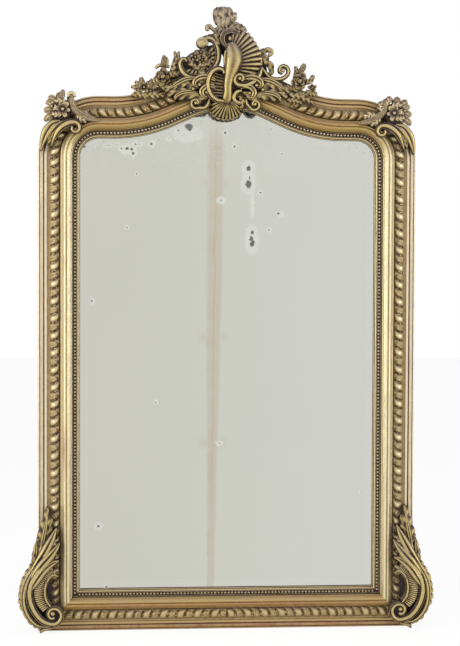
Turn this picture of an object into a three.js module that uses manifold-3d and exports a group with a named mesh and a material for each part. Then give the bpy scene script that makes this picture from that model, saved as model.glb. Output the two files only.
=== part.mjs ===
// A tall overmantel mirror: a bevelled plate under an arched top, in a gilt frame built on a pine
// chassis, with a carved crest of shell, scrolls and roses, a spray on each shoulder and a scroll
// at each foot. Millimetres, +Z up, front towards -Y. h is height above the back of the chassis.
import * as THREE from 'three';
import { mergeVertices } from 'three/addons/utils/BufferGeometryUtils.js';
import Module from 'manifold-3d';

const wasm = await Module();
wasm.setup();

// ---------------------------------------------------------------- driving dimensions
const fit = 0.3;                 // gap left between pieces that touch

// the opening of the frame, which shows the glass
const sightHalfWidth = 430;
const sightHeight = 1311;        // from the bottom rail to the flat part of the top
const shoulderRadius = 55;
const shoulderFlat = 40;         // level run between shoulder and arch
const archRise = 87;             // centre of the arch above the level run
const archSteepness = 1.66;      // 1 is one straight slope, 2 is two arcs with no straight
const archCapShare = 0.352;      // share of the arch's two radii that goes to its middle

// the bands of the moulding, from the sight edge outwards
const slipWidth = 7.5;
const beadWidth = 13.5;
const faceWidth = 34;
const gadroonWidth = 38;
const edgeWidth = 27;

// the depth of the chassis, and how far each band rises above the front of it
const chassisDepth = 28;
const slipRise = 10;
const beadRise = 15;
const faceRise = 42;
const gadroonRise = 28;
const edgeRise = 16;

// the chassis, the glass and what backs it
const rebate = 12;               // glass bed behind the sight edge
const plateThickness = 6;
const plateEdge = 3.3;           // plate thickness at the rim of its bevel
const bevelWidth = 27;           // bevel that shows inside the sight edge
const plateMargin = 10;          // plate behind the sight edge
const boardThickness = 10;
const boardJoint = -42;          // where the two backboards meet
const battenWidth = 60;
const battenThickness = 9.5;
const battensAboveSight = [428, 733];   // from the bottom of the opening
const battenBelowTop = 133;              // from the flat part of its top

// the board that carries the crest above the frame
const crestBoardThickness = 21;
const crestBoardSet = 4;         // its face behind the front of the chassis

// the two hanging rings and their straps
const hangerBelowTop = 191;      // from the flat part of the opening's top
const hangerFromSight = 66;
const ringWire = 2;              // radius
const ringRadius = 17;
const ringDrop = 6;              // centre of the ring below its straight bar
const strapWidth = 19;
const strapLength = 62;
const strapThickness = 1.6;
const knuckleLength = 22;
const screwDepths = [36, 52];    // screws below the hinge
const screwRadius = 2;
const screwLength = 17;
const screwHeadRadius = 4.2;
const screwHeadHeight = 2.2;

// ---------------------------------------------------------------- colours
const finish = {
  gilt: { color: 0xc8b184, roughness: 0.55, metalness: 0.35 },
  giltBright: { color: 0xd9c79d, roughness: 0.42, metalness: 0.45 },
  giltWorn: { color: 0xb09067, roughness: 0.65, metalness: 0.25 },
  glass: { color: 0xc6c8bd, roughness: 0.05, metalness: 0.95 },
  pine: { color: 0x8a6a47, roughness: 0.85, metalness: 0 },
  board: { color: 0x76583b, roughness: 0.9, metalness: 0 },
  brass: { color: 0xa88b4e, roughness: 0.4, metalness: 0.9 },
  steel: { color: 0x6d6a64, roughness: 0.5, metalness: 0.8 },
};

// ---------------------------------------------------------------- derived sizes
const slipStart = 0;
const beadStart = slipStart + slipWidth;
const faceStart = beadStart + beadWidth;
const gadroonStart = faceStart + faceWidth;
const edgeStart = gadroonStart + gadroonWidth;
const frameWidth = edgeStart + edgeWidth;
const sightBottom = frameWidth;
const sightTop = sightBottom + sightHeight;
const outerHalfWidth = sightHalfWidth + frameWidth;
const outerTop = sightTop + frameWidth;
const shoulderStart = sightTop - shoulderRadius;

const archHalf = sightHalfWidth - shoulderRadius - shoulderFlat;
const archAngle = archSteepness * Math.atan2(archRise, archHalf);
const archRadii = (archHalf * Math.sin(archAngle) - archRise * Math.cos(archAngle))
  / (1 - Math.cos(archAngle));
const capRadius = archRadii * archCapShare;
const valleyRadius = archRadii - capRadius;
const peak = sightTop + archRise + frameWidth;

const plateFront = chassisDepth - fit;
const plateBack = plateFront - plateThickness;
const bevelSlope = (plateThickness - plateEdge) / (bevelWidth + plateMargin);
const boardBack = plateBack - fit - boardThickness;
const battenBack = boardBack - fit - battenThickness;
const battenHeights = [
  ...battensAboveSight.map((above) => sightBottom + above),
  sightTop - battenBelowTop,
];
const hangerHeight = sightTop - hangerBelowTop;

// ---------------------------------------------------------------- solids
const group = new THREE.Group();

// A closed geometry as a solid, wound so that its faces look outwards.
function solid(geometry) {
  const bare = geometry.clone();
  bare.deleteAttribute('normal');
  bare.deleteAttribute('uv');
  const merged = mergeVertices(bare, 1e-4);
  const corners = Float32Array.from(merged.attributes.position.array);
  const faces = Uint32Array.from(merged.index.array);
  return new wasm.Manifold(new wasm.Mesh({ numProp: 3, vertProperties: corners, triVerts: faces }));
}

function joined(solids) {
  return solids.reduce((sum, one) => sum.add(one));
}

// The largest body of a cut solid, without the slivers that a cut leaves.
function mainBody(cut) {
  return cut.decompose().sort((a, b) => b.volume() - a.volume())[0];
}

function geometryOf(one) {
  const mesh = one.getMesh();
  const geometry = new THREE.BufferGeometry();
  geometry.setAttribute('position', new THREE.BufferAttribute(mesh.vertProperties, 3));
  geometry.setIndex(new THREE.BufferAttribute(mesh.triVerts, 1));
  geometry.computeVertexNormals();
  return geometry;
}

function place(name, shape, look) {
  const geometry = shape.isBufferGeometry ? shape : geometryOf(shape);
  const mesh = new THREE.Mesh(geometry, new THREE.MeshStandardMaterial(look));
  mesh.name = name;
  group.add(mesh);
  return mesh;
}

// ---------------------------------------------------------------- the sight line
// A station is a point of the sight line and the way outwards from it, so that every band and
// board of the frame is an offset of one line. The line runs clockwise, seen from the front.
function station(x, z, outX, outZ) {
  return { x, z, outX, outZ };
}

function arc(centreX, centreZ, radius, from, to, steps, inward) {
  const stations = [];
  for (let i = 0; i <= steps; i += 1) {
    const angle = from + ((to - from) * i) / steps;
    const dx = Math.sin(angle);
    const dz = Math.cos(angle);
    const way = inward ? -1 : 1;
    stations.push(station(centreX + radius * dx, centreZ + radius * dz, way * dx, way * dz));
  }
  return stations;
}

// Left half of the top, from the foot of the shoulder to the middle of the arch.
function topLeftStations() {
  const shoulderCentre = sightHalfWidth - shoulderRadius;
  const shoulder = arc(-shoulderCentre, shoulderStart, shoulderRadius, -Math.PI / 2, 0, 7, false);
  const valley = arc(-archHalf, sightTop + valleyRadius, valleyRadius, Math.PI,
    Math.PI - archAngle, 5, true);
  const capCentre = sightTop + archRise - capRadius;
  const cap = arc(0, capCentre, capRadius, -archAngle, 0, 4, false);
  return [...shoulder, ...valley, ...cap];
}

function mirrored(stations) {
  return stations.map((s) => station(-s.x, s.z, -s.outX, s.outZ)).reverse();
}

const bottomRight = station(sightHalfWidth, sightBottom, 1, -1);
const bottomLeft = station(-sightHalfWidth, sightBottom, -1, -1);
const stileTopLeft = station(-sightHalfWidth, shoulderStart, -1, 0);
const stileTopRight = station(sightHalfWidth, shoulderStart, 1, 0);
const topLeft = topLeftStations();
const topRight = mirrored(topLeft);

const sides = {
  bottom: [bottomRight, bottomLeft],
  left: [bottomLeft, stileTopLeft],
  right: [stileTopRight, bottomRight],
};
const mouldingMembers = { ...sides, top_left: topLeft, top_right: topRight };
const boardMembers = { ...sides, top: [...topLeft, ...topRight.slice(1)] };

// Draws the two ends of a member back by half the fit, along the member.
function shortened(stations) {
  const trim = (end, next) => {
    const length = Math.hypot(next.x - end.x, next.z - end.z);
    const share = fit / 2 / length;
    const mitred = Math.hypot(end.outX, end.outZ) > 1.01 ? Math.SQRT2 : 1;
    return station(
      end.x + (next.x - end.x) * share * mitred,
      end.z + (next.z - end.z) * share * mitred,
      end.outX,
      end.outZ,
    );
  };
  const last = stations.length - 1;
  return stations.map((s, i) => {
    if (i === 0) return trim(s, stations[1]);
    if (i === last) return trim(s, stations[last - 1]);
    return s;
  });
}

// Sweeps an outline of [offset, h] points along stations.
function sweep(outline, stations) {
  const shape = new THREE.Shape(outline.map(([t, h]) => new THREE.Vector2(t, h)));
  const steps = stations.length - 1;
  const geometry = new THREE.ExtrudeGeometry(shape, { depth: 1, steps, bevelEnabled: false });
  const position = geometry.attributes.position;
  for (let i = 0; i < position.count; i += 1) {
    const at = stations[Math.round(position.getZ(i) * steps)];
    const t = position.getX(i);
    position.setXYZ(i, at.x + at.outX * t, -position.getY(i), at.z + at.outZ * t);
  }
  return geometry;
}

// ---------------------------------------------------------------- the bands of the moulding
// Each band's face is a list of [share of its width, rise]; its back is flat at the given h.
const slipBack = plateFront - bevelWidth * bevelSlope + fit;
const bandBack = chassisDepth + fit;
const bands = [
  {
    name: 'sight_slip',
    start: slipStart,
    width: slipWidth,
    back: slipBack,
    look: finish.gilt,
    face: [[0, slipRise - 7], [0.3, slipRise - 3], [1, slipRise]],
  },
  {
    name: 'bead_string',
    start: beadStart,
    width: beadWidth,
    back: bandBack,
    look: finish.giltBright,
    face: [[0, beadRise - 5], [0.2, beadRise - 5], [0.35, beadRise - 1],
      [0.65, beadRise - 1], [0.8, beadRise - 5], [1, beadRise - 5]],
  },
  {
    name: 'face_moulding',
    start: faceStart,
    width: faceWidth,
    back: bandBack,
    look: finish.giltBright,
    face: [[0, faceRise - 24], [0.08, faceRise - 14], [0.22, faceRise - 4],
      [0.34, faceRise], [0.44, faceRise - 3], [0.54, faceRise - 1.5],
      [0.74, faceRise - 8], [0.92, faceRise - 16], [1, faceRise - 21]],
  },
  {
    name: 'gadroon_band',
    start: gadroonStart,
    width: gadroonWidth,
    back: bandBack,
    look: finish.gilt,
    face: [[0, gadroonRise - 12], [0.15, gadroonRise - 5], [0.4, gadroonRise],
      [0.65, gadroonRise - 2], [0.88, gadroonRise - 9], [1, gadroonRise - 15]],
  },
  {
    name: 'edge_moulding',
    start: edgeStart,
    width: edgeWidth,
    back: bandBack,
    look: finish.giltWorn,
    face: [[0, edgeRise - 2], [0.1, edgeRise], [0.3, edgeRise - 1],
      [0.38, edgeRise - 5], [0.46, edgeRise - 2], [0.8, edgeRise - 3],
      [1, edgeRise - 8]],
  },
];

function bandOutline(band) {
  const inner = band.start === slipStart ? 0 : fit / 2;
  const outer = band.start === edgeStart ? 0 : fit / 2;
  const from = band.start + inner;
  const to = band.start + band.width - outer;
  const face = band.face.map(([share, rise]) => [from + (to - from) * share, chassisDepth + rise]);
  return [[from, band.back], [to, band.back], ...face.reverse()];
}

// The line that a straight edge finds when it is rolled over the bands, a fit above them.
function seatLine() {
  const line = [];
  const turnsUp = (a, b, c) => (b[1] - a[1]) * (c[0] - a[0]) <= (c[1] - a[1]) * (b[0] - a[0]);
  for (const band of bands) {
    for (const [share, rise] of band.face) {
      const next = [band.start + band.width * share, chassisDepth + rise + fit];
      while (line.length > 1 && turnsUp(line.at(-2), line.at(-1), next)) line.pop();
      line.push(next);
    }
  }
  return line;
}

// The whole frame in one outline, a fit larger, to cut the carving to its seat.
function seatOutline() {
  const line = seatLine();
  const glassSide = -shoulderRadius + 1;
  const side = frameWidth + fit;
  const back = -chassisDepth;
  return [
    [glassSide, back],
    [side, back],
    [side, line.at(-1)[1]],
    ...line.slice(1, -1).reverse(),
    [-fit, line[0][1]],
    [-fit, chassisDepth + fit],
    [glassSide, chassisDepth + fit],
  ];
}

const seat = joined(Object.values(boardMembers)
  .map((stations) => solid(sweep(seatOutline(), stations))));

// The slip runs across the top in one length, and the other bands meet behind the crest.
for (const band of bands) {
  const members = band.start === slipStart ? boardMembers : mouldingMembers;
  for (const [side, stations] of Object.entries(members)) {
    place(`${band.name}_${side}`, sweep(bandOutline(band), shortened(stations)), band.look);
  }
}

// ---------------------------------------------------------------- glass, boards and battens
// Every station of the loop once, clockwise from the bottom left corner.
const loop = [bottomLeft, ...topLeft, ...topRight.slice(1), bottomRight];

// A closed solid through copies of the loop, each at its own offset and height.
function loft(layers) {
  const count = loop.length;
  const corners = [];
  for (const [t, h] of layers) {
    for (const s of loop) corners.push(s.x + s.outX * t, -h, s.z + s.outZ * t);
  }
  const faces = [];
  for (let layer = 0; layer + 1 < layers.length; layer += 1) {
    for (let i = 0; i < count; i += 1) {
      const a = layer * count + i;
      const b = layer * count + ((i + 1) % count);
      faces.push(a, b + count, b, a, a + count, b + count);
    }
  }
  const last = (layers.length - 1) * count;
  for (const [first, t, back] of [[0, layers[0][0], true], [last, layers.at(-1)[0], false]]) {
    const flat = loop.map((s) => new THREE.Vector2(s.x + s.outX * t, s.z + s.outZ * t));
    for (const [a, b, c] of THREE.ShapeUtils.triangulateShape(flat, [])) {
      if (back) faces.push(first + a, first + c, first + b);
      else faces.push(first + a, first + b, first + c);
    }
  }
  const geometry = new THREE.BufferGeometry();
  geometry.setAttribute('position', new THREE.Float32BufferAttribute(corners, 3));
  geometry.setIndex(faces);
  geometry.computeVertexNormals();
  return geometry;
}

function block(x0, x1, h0, h1, z0, z1) {
  const box = new THREE.BoxGeometry(x1 - x0, h1 - h0, z1 - z0);
  return box.translate((x0 + x1) / 2, -(h0 + h1) / 2, (z0 + z1) / 2);
}

const plate = loft([
  [plateMargin, plateBack],
  [plateMargin, plateBack + plateEdge],
  [-bevelWidth, plateBack + plateThickness],
]);
place('mirror_plate', plate, finish.glass);

const boards = solid(loft([
  [rebate - fit, boardBack],
  [rebate - fit, boardBack + boardThickness],
]));
const boardEdge = sightHalfWidth + frameWidth;
const boardHalves = [
  ['backboard_left', -boardEdge, boardJoint - fit / 2],
  ['backboard_right', boardJoint + fit / 2, boardEdge],
];
for (const [name, x0, x1] of boardHalves) {
  const half = solid(block(x0, x1, 0, chassisDepth, 0, peak));
  place(name, boards.intersect(half), finish.board);
}

const battenEnd = sightHalfWidth + rebate - fit;
battenHeights.forEach((z, i) => {
  const batten = block(-battenEnd, battenEnd, battenBack, battenBack + battenThickness,
    z - battenWidth / 2, z + battenWidth / 2);
  place(`batten_${i + 1}`, batten, finish.pine);
});

// ---------------------------------------------------------------- hanging rings
const hingeH = -(fit + strapThickness + fit + ringWire);
const knuckleBore = ringWire + fit;
const knuckleOuter = knuckleBore + strapThickness;

// A cylinder that stands out of the back of the chassis, from one h to another.
function peg(x, z, radius, h0, h1, sides) {
  const cylinder = new THREE.CylinderGeometry(radius, radius, h1 - h0, sides);
  return cylinder.translate(x, -(h0 + h1) / 2, z);
}

// A closed wire: a round ring whose top is cut straight for the bar in the knuckle.
function ringWireShape(x) {
  const sides = 6;
  const turns = 28;
  const torus = new THREE.TorusGeometry(ringRadius, ringWire, sides, turns);
  const position = torus.attributes.position;
  for (let i = 0; i <= sides; i += 1) {
    for (let j = 0; j <= turns; j += 1) {
      const around = (j / turns) * Math.PI * 2;
      const section = (i / sides) * Math.PI * 2;
      const ringX = ringRadius * Math.cos(around);
      const ringZ = ringRadius * Math.sin(around) - ringDrop;
      const straight = ringZ > 0;
      const outX = straight ? 0 : Math.cos(around);
      const outZ = straight ? 1 : Math.sin(around);
      const out = ringWire * Math.cos(section);
      position.setXYZ(
        i * (turns + 1) + j,
        x + ringX + outX * out,
        -hingeH - ringWire * Math.sin(section),
        hangerHeight + Math.min(ringZ, 0) + outZ * out,
      );
    }
  }
  return torus;
}

// The strap is a flat plate whose top is rolled round the bar of the ring.
function strapShape(x, holes) {
  const plateFace = -fit;
  const flat = block(x - strapWidth / 2, x + strapWidth / 2, plateFace - strapThickness, plateFace,
    hangerHeight - strapLength, hangerHeight);
  const roll = new THREE.CylinderGeometry(knuckleOuter, knuckleOuter, knuckleLength, 20)
    .rotateZ(Math.PI / 2).translate(x, -hingeH, hangerHeight);
  const bore = new THREE.CylinderGeometry(knuckleBore, knuckleBore, knuckleLength + 4, 20)
    .rotateZ(Math.PI / 2).translate(x, -hingeH, hangerHeight);
  return solid(flat).add(solid(roll)).subtract(solid(bore)).subtract(holes);
}

function screwShape(x, z) {
  const plateFace = -fit - strapThickness;
  const shank = peg(x, z, screwRadius, plateFace - 1, screwLength, 10);
  const head = peg(x, z, screwHeadRadius, plateFace - fit - screwHeadHeight, plateFace - fit, 12);
  return solid(shank).add(solid(head));
}

const stileHoles = {};
const hangerX = sightHalfWidth + hangerFromSight;
for (const [side, x] of [['left', -hangerX], ['right', hangerX]]) {
  const holes = joined(screwDepths.map((depth) => solid(
    peg(x, hangerHeight - depth, screwRadius + fit, -10, screwLength + fit, 10),
  )));
  stileHoles[side] = holes;
  place(`hanger_strap_${side}`, strapShape(x, holes), finish.brass);
  place(`hanger_ring_${side}`, ringWireShape(x), finish.brass);
  screwDepths.forEach((depth, i) => {
    place(`hanger_screw_${side}_${i + 1}`, screwShape(x, hangerHeight - depth), finish.steel);
  });
}

// ---------------------------------------------------------------- the chassis
const chassisOutline = [
  [rebate, 0],
  [frameWidth, 0],
  [frameWidth, chassisDepth],
  [rebate, chassisDepth],
];
for (const [side, stations] of Object.entries(boardMembers)) {
  const member = solid(sweep(chassisOutline, shortened(stations)));
  const cut = stileHoles[side] ? member.subtract(stileHoles[side]) : member;
  place(`chassis_${side}`, cut, finish.pine);
}

// ---------------------------------------------------------------- carving
// Points are given as [across, up] from an anchor: across is from the middle for the crest and
// inwards from the outer edge for the corners, where side is -1 on the left and 1 on the right.
// Every front and back of the carving is a rise above the front of the chassis.
function anchor(side, x, z) {
  return ([across, up]) => [side * (x - across), z + up];
}

const crestPoint = ([across, up]) => [across, peak + up];

// The height of the frame's outer edge over a point of the top.
function outerEdgeAt(x) {
  const edge = [...topLeft, ...topRight.slice(1)]
    .map((s) => [s.x + s.outX * frameWidth, s.z + s.outZ * frameWidth]);
  const next = edge.findIndex(([edgeX]) => edgeX > x);
  const [x0, z0] = edge[next - 1];
  const [x1, z1] = edge[next];
  return z0 + ((z1 - z0) * (x - x0)) / (x1 - x0);
}

// The roses and the flowers sit on the outer edge, so their points are taken from it.
function edgePoint(x) {
  const z = outerEdgeAt(x);
  return ([across, up]) => [x + across, z + up];
}

// A strand is a round-backed strap through points, with half widths and fronts read evenly along
// it. It thins towards a narrow end, as a leaf does.
const fullWidth = 8;
const tipThickness = 0.4;

function strand(at, points, widths, fronts, depth, grow = 0, sides = 6) {
  const path = new THREE.CatmullRomCurve3(points.map((point, i) => {
    const [x, z] = at(point);
    return new THREE.Vector3(x, -chassisDepth - valueAt(fronts, i / (points.length - 1)), z);
  }), false, 'centripetal');
  const steps = points.length + 1;
  const geometry = new THREE.CylinderGeometry(1, 1, 1, sides, steps);
  const position = geometry.attributes.position;
  const front = new THREE.Vector3(0, -1, 0);
  const across = new THREE.Vector3();
  const spot = new THREE.Vector3();
  for (let i = 0; i < position.count; i += 1) {
    const share = position.getY(i) + 0.5;
    const width = valueAt(widths, share);
    const half = depth * Math.min(1, tipThickness + (1 - tipThickness) * (width / fullWidth));
    path.getPointAt(share, spot);
    path.getTangentAt(share, across);
    if (share === 0) spot.addScaledVector(across, -grow);
    if (share === 1) spot.addScaledVector(across, grow);
    across.cross(front).normalize();
    spot.addScaledVector(across, position.getX(i) * (width + grow));
    spot.addScaledVector(front, position.getZ(i) * (half + grow) - half);
    position.setXYZ(i, spot.x, spot.y, spot.z);
  }
  return solid(geometry);
}

// Linear reading of a list of values spread evenly from 0 to 1.
function valueAt(values, share) {
  if (values.length === 1) return values[0];
  const scaled = share * (values.length - 1);
  const low = Math.min(Math.floor(scaled), values.length - 2);
  return values[low] + (values[low + 1] - values[low]) * (scaled - low);
}

function knob(at, point, radius, front, depth, grow = 0, rise = radius) {
  const [x, z] = at(point);
  const ball = new THREE.SphereGeometry(1, 7, 4);
  ball.scale(radius + grow, depth + grow, rise + grow);
  return solid(ball.translate(x, -(chassisDepth + front - depth), z));
}

// A rose is a ring of petals round a middle.
function rose(at, point, radius, front, depth, grow = 0) {
  const [across, up] = point;
  const petals = [];
  for (let i = 0; i < 5; i += 1) {
    const angle = (i / 5) * Math.PI * 2;
    const petal = [across + Math.cos(angle) * radius * 0.52, up + Math.sin(angle) * radius * 0.52];
    petals.push(knob(at, petal, radius * 0.48, front - radius * 0.16, depth, grow));
  }
  return joined([knob(at, point, radius * 0.5, front, depth, grow), ...petals]);
}

// The outline moved outwards by grow, each corner along the middle of its two sides.
function widened(outline, grow) {
  const way = THREE.ShapeUtils.isClockWise(outline) ? -1 : 1;
  return outline.map((corner, i) => {
    const before = outline.at(i - 1).clone().sub(corner).normalize();
    const after = outline[(i + 1) % outline.length].clone().sub(corner).normalize();
    const out = new THREE.Vector2(after.y - before.y, before.x - after.x).normalize();
    const sharpness = Math.max(0.3, Math.abs(after.x * out.y - after.y * out.x));
    return out.multiplyScalar((way * grow) / sharpness).add(corner);
  });
}

// A fan is a flat slab through points, for the shell and for boards under the carving.
function fan(at, points, back, front, grow = 0) {
  const outline = points.map((point) => new THREE.Vector2(...at(point)));
  const slab = new THREE.ExtrudeGeometry(new THREE.Shape(widened(outline, grow)), {
    depth: front - back + 2 * grow,
    bevelEnabled: false,
  });
  return solid(slab.rotateX(Math.PI / 2).translate(0, -(chassisDepth + back - grow), 0));
}

const leftRose = edgePoint(-193);
const rightRose = edgePoint(201);
const leftFlowers = edgePoint(-246);

// Every carved piece is made by a function of grow, so a neighbour can be cut to it with a gap.
const carved = {
  // It has a notch from below, which leaves the gap beside the left scroll open.
  crest_board: (grow) => fan(crestPoint, [
    [-214, -90], [-212, -24], [-196, -14], [-168, -12], [-152, 16], [-132, 24], [-112, 40],
    [-92, 50], [-66, 62], [-48, 66], [-36, 72], [-27, 94], [-31, 140], [-4, 144], [12, 104],
    [44, 90], [68, 62], [82, 34], [110, 10], [114, -18], [112, -60], [-13, -40], [-13, 32],
    [-18, 42], [-32, 42], [-38, 32], [-38, -40],
  ], -crestBoardSet - crestBoardThickness, -crestBoardSet, grow),

  crest_cartouche: (grow) => {
    const rim = [[-32, 88], [-12, 106], [18, 112], [49, 101], [75, 74], [93, 41], [97, 6],
      [86, -24], [58, -48]];
    const flutes = rim.slice(1).map((tip) => strand(crestPoint, [[16, 14], [
      (tip[0] + 16) / 2, (tip[1] + 14) / 2], tip], [5, 8, 12], [46, 50, 38], 20, grow));
    return joined([
      fan(crestPoint, [...rim, [10, -50], [-18, -10], [-18, 50]], fit - crestBoardSet, 22,
        grow),
      ...flutes,
      strand(crestPoint, [[-22, 84], [-4, 68], [7, 43], [8, 14], [2, -16], [-7, -45], [-7, -74],
        [-9, -104]], [8, 16, 22, 23, 18, 14, 12, 9], [56, 72, 80, 82, 76, 68, 62, 58], 34, grow),
      strand(crestPoint, [[96, -8], [83, -29], [64, -46], [42, -55], [23, -52], [16, -40], [26, -36]],
        [4, 8, 9, 9, 8, 7, 5], [48, 56, 60, 60, 60, 60, 62], 26, grow),
      strand(crestPoint, [[-12, -20], [-33, -15], [-53, -26], [-65, -50], [-66, -77], [-56, -97],
        [-34, -106]], [7, 11, 12, 12, 12, 11, 8], [56, 58, 60, 62, 62, 62, 60], 30, grow),
      strand(crestPoint, [[34, -74], [19, -77], [12, -90], [17, -104], [32, -106]],
        [5, 6, 7, 7, 5], [56, 60, 60, 58, 54], 24, grow),
      fan(crestPoint, [[-48, -92], [-62, -112], [-53, -138], [-31, -151], [-8, -156], [18, -151],
        [36, -134], [42, -112], [32, -92]], 0, 46, grow),
    ]);
  },

  crest_scroll_left: (grow) => joined([
    strand(crestPoint, [[-78, 60], [-62, 72], [-45, 68], [-34, 46], [-35, 17], [-48, -11], [-74, -31],
      [-103, -37], [-132, -26], [-145, -4], [-136, 14]], [9, 9, 9, 8, 8, 9, 10, 10, 9, 8, 7],
    [46, 48, 50, 50, 48, 48, 48, 50, 52, 52, 50], 26, grow),
    knob(crestPoint, [-75, 58], 15, 54, 24, grow),
    strand(crestPoint, [[-66, 88], [-52, 80], [-34, 70]], [2, 8, 8], [38, 42, 42], 20, grow),
    strand(crestPoint, [[-62, 108], [-52, 94], [-38, 80]], [5, 5, 6], [36, 38, 38], 14, grow),
    knob(crestPoint, [-63, 110], 11, 42, 13, grow),
    strand(crestPoint, [[-56, 42], [-72, 16], [-100, 0], [-122, 2]], [8, 12, 12, 6],
      [34, 38, 40, 42], 20, grow),
    strand(crestPoint, [[-72, 16], [-76, -8], [-84, -28]], [8, 11, 8], [36, 40, 44], 20, grow),
  ]),

  crest_scroll_right: (grow) => joined([
    strand(crestPoint, [[88, 46], [104, 46], [121, 41], [116, 28], [96, 22]], [5, 8, 6, 7, 6],
      [36, 42, 44, 40, 36], 20, grow),
    strand(crestPoint, [[86, 20], [106, 17], [122, 6], [124, -12], [108, -26]], [5, 9, 9, 9, 8],
      [34, 42, 44, 44, 46], 20, grow),
    strand(crestPoint, [[98, -14], [112, -26], [130, -34], [152, -31], [169, -15], [172, 2],
      [158, 9], [147, -2], [156, -12]], [6, 8, 8, 8, 8, 7, 7, 6, 5],
    [46, 50, 52, 54, 54, 54, 54, 52, 52], 26, grow),
    knob(crestPoint, [159, -5], 10, 56, 20, grow),
  ]),

  crest_finial: (grow) => joined([
    knob(crestPoint, [-19, 138], 28, 48, 28, grow, 30),
    strand(crestPoint, [[-44, 130], [-39, 150], [-22, 162]], [7, 11, 5], [38, 44, 42], 22, grow),
    strand(crestPoint, [[5, 128], [2, 152], [-15, 162]], [7, 11, 5], [40, 45, 43], 22, grow),
    strand(crestPoint, [[-4, 137], [10, 144], [14, 132]], [8, 7, 4], [39, 41, 38], 18, grow),
    strand(crestPoint, [[-37, 115], [-14, 110], [8, 115], [27, 118]], [8, 12, 11, 4],
      [34, 41, 41, 35], 24, grow),
  ]),

  crest_leaves_left: (grow) => joined([
    strand(crestPoint, [[-62, -72], [-84, -60], [-104, -54], [-128, -58], [-152, -66], [-178, -74]],
      [6, 13, 14, 14, 12, 8], [52, 56, 56, 54, 52, 48], 30, grow),
    strand(crestPoint, [[-66, -92], [-92, -86], [-120, -84], [-150, -84], [-182, -86]],
      [6, 11, 12, 10, 6], [50, 54, 54, 52, 48], 28, grow),
    strand(crestPoint, [[-60, -120], [-84, -129], [-106, -122], [-115, -104], [-104, -92], [-90, -98],
      [-92, -110]], [7, 8, 8, 8, 7, 7, 6], [52, 54, 54, 54, 54, 54, 52], 28, grow),
    knob(crestPoint, [-98, -108], 9, 54, 20, grow),
  ]),

  crest_leaves_right: (grow) => joined([
    strand(crestPoint, [[44, -66], [68, -62], [94, -58], [122, -64], [150, -74], [178, -80]],
      [7, 12, 13, 13, 11, 8], [52, 56, 56, 54, 52, 48], 30, grow),
    strand(crestPoint, [[178, -84], [205, -86], [232, -98], [258, -110]], [10, 9, 7, 1],
      [48, 48, 46, 42], 24, grow),
    strand(crestPoint, [[42, -84], [70, -84], [100, -84], [136, -92]], [8, 11, 10, 3],
      [52, 54, 52, 48], 28, grow),
    strand(crestPoint, [[40, -108], [52, -122], [70, -128], [86, -118], [88, -103], [76, -96],
      [66, -106]], [7, 8, 8, 8, 7, 6, 5], [52, 54, 54, 54, 54, 54, 52], 28, grow),
    knob(crestPoint, [74, -111], 9, 54, 20, grow),
    strand(crestPoint, [[80, -62], [75, -86], [72, -112]], [8, 8, 7], [52, 51, 48], 28, grow),
  ]),

  rose_spray_left: (grow) => joined([
    rose(leftRose, [0, 17], 29, 62, 30, grow),
    strand(leftRose, [[3, 43], [3, 61], [8, 81]], [8, 10, 4], [46, 50, 46], 18, grow),
    strand(leftRose, [[-21, 49], [-3, 51], [21, 51]], [3, 8, 4], [42, 46, 42], 16, grow),
    strand(leftRose, [[21, 25], [33, 53], [47, 91]], [9, 14, 3], [48, 48, 42], 20, grow),
  ]),

  rose_spray_right: (grow) => joined([
    rose(rightRose, [0, 12], 28, 62, 30, grow),
    strand(rightRose, [[-5, 36], [5, 48], [15, 64]], [8, 11, 2], [44, 48, 42], 18, grow),
    strand(rightRose, [[21, 2], [39, 8], [43, 26]], [8, 12, 4], [46, 48, 42], 20, grow),
    strand(rightRose, [[23, -10], [39, -16], [55, -18]], [9, 12, 5], [44, 48, 42], 22, grow),
  ]),

  flower_cluster_left: (grow) => joined([
    knob(leftFlowers, [0, 8], 17, 52, 28, grow),
    ...[[-20, 12], [5, 26], [20, 18], [18, -4], [-22, -10], [-2, -14]]
      .map((point) => knob(leftFlowers, point, 13, 46, 24, grow)),
  ]),
};

const carvedAfter = {
  crest_board: [],
  crest_cartouche: ['crest_board'],
  crest_scroll_left: ['crest_board', 'crest_cartouche'],
  crest_scroll_right: ['crest_board', 'crest_cartouche'],
  crest_finial: ['crest_board', 'crest_cartouche', 'crest_scroll_left'],
  crest_leaves_left: ['crest_cartouche', 'crest_scroll_left'],
  crest_leaves_right: ['crest_cartouche', 'crest_scroll_right'],
  rose_spray_left: ['crest_scroll_left', 'crest_leaves_left'],
  rose_spray_right: ['crest_scroll_right', 'crest_leaves_right'],
  flower_cluster_left: ['rose_spray_left', 'crest_leaves_left'],
};

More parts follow.
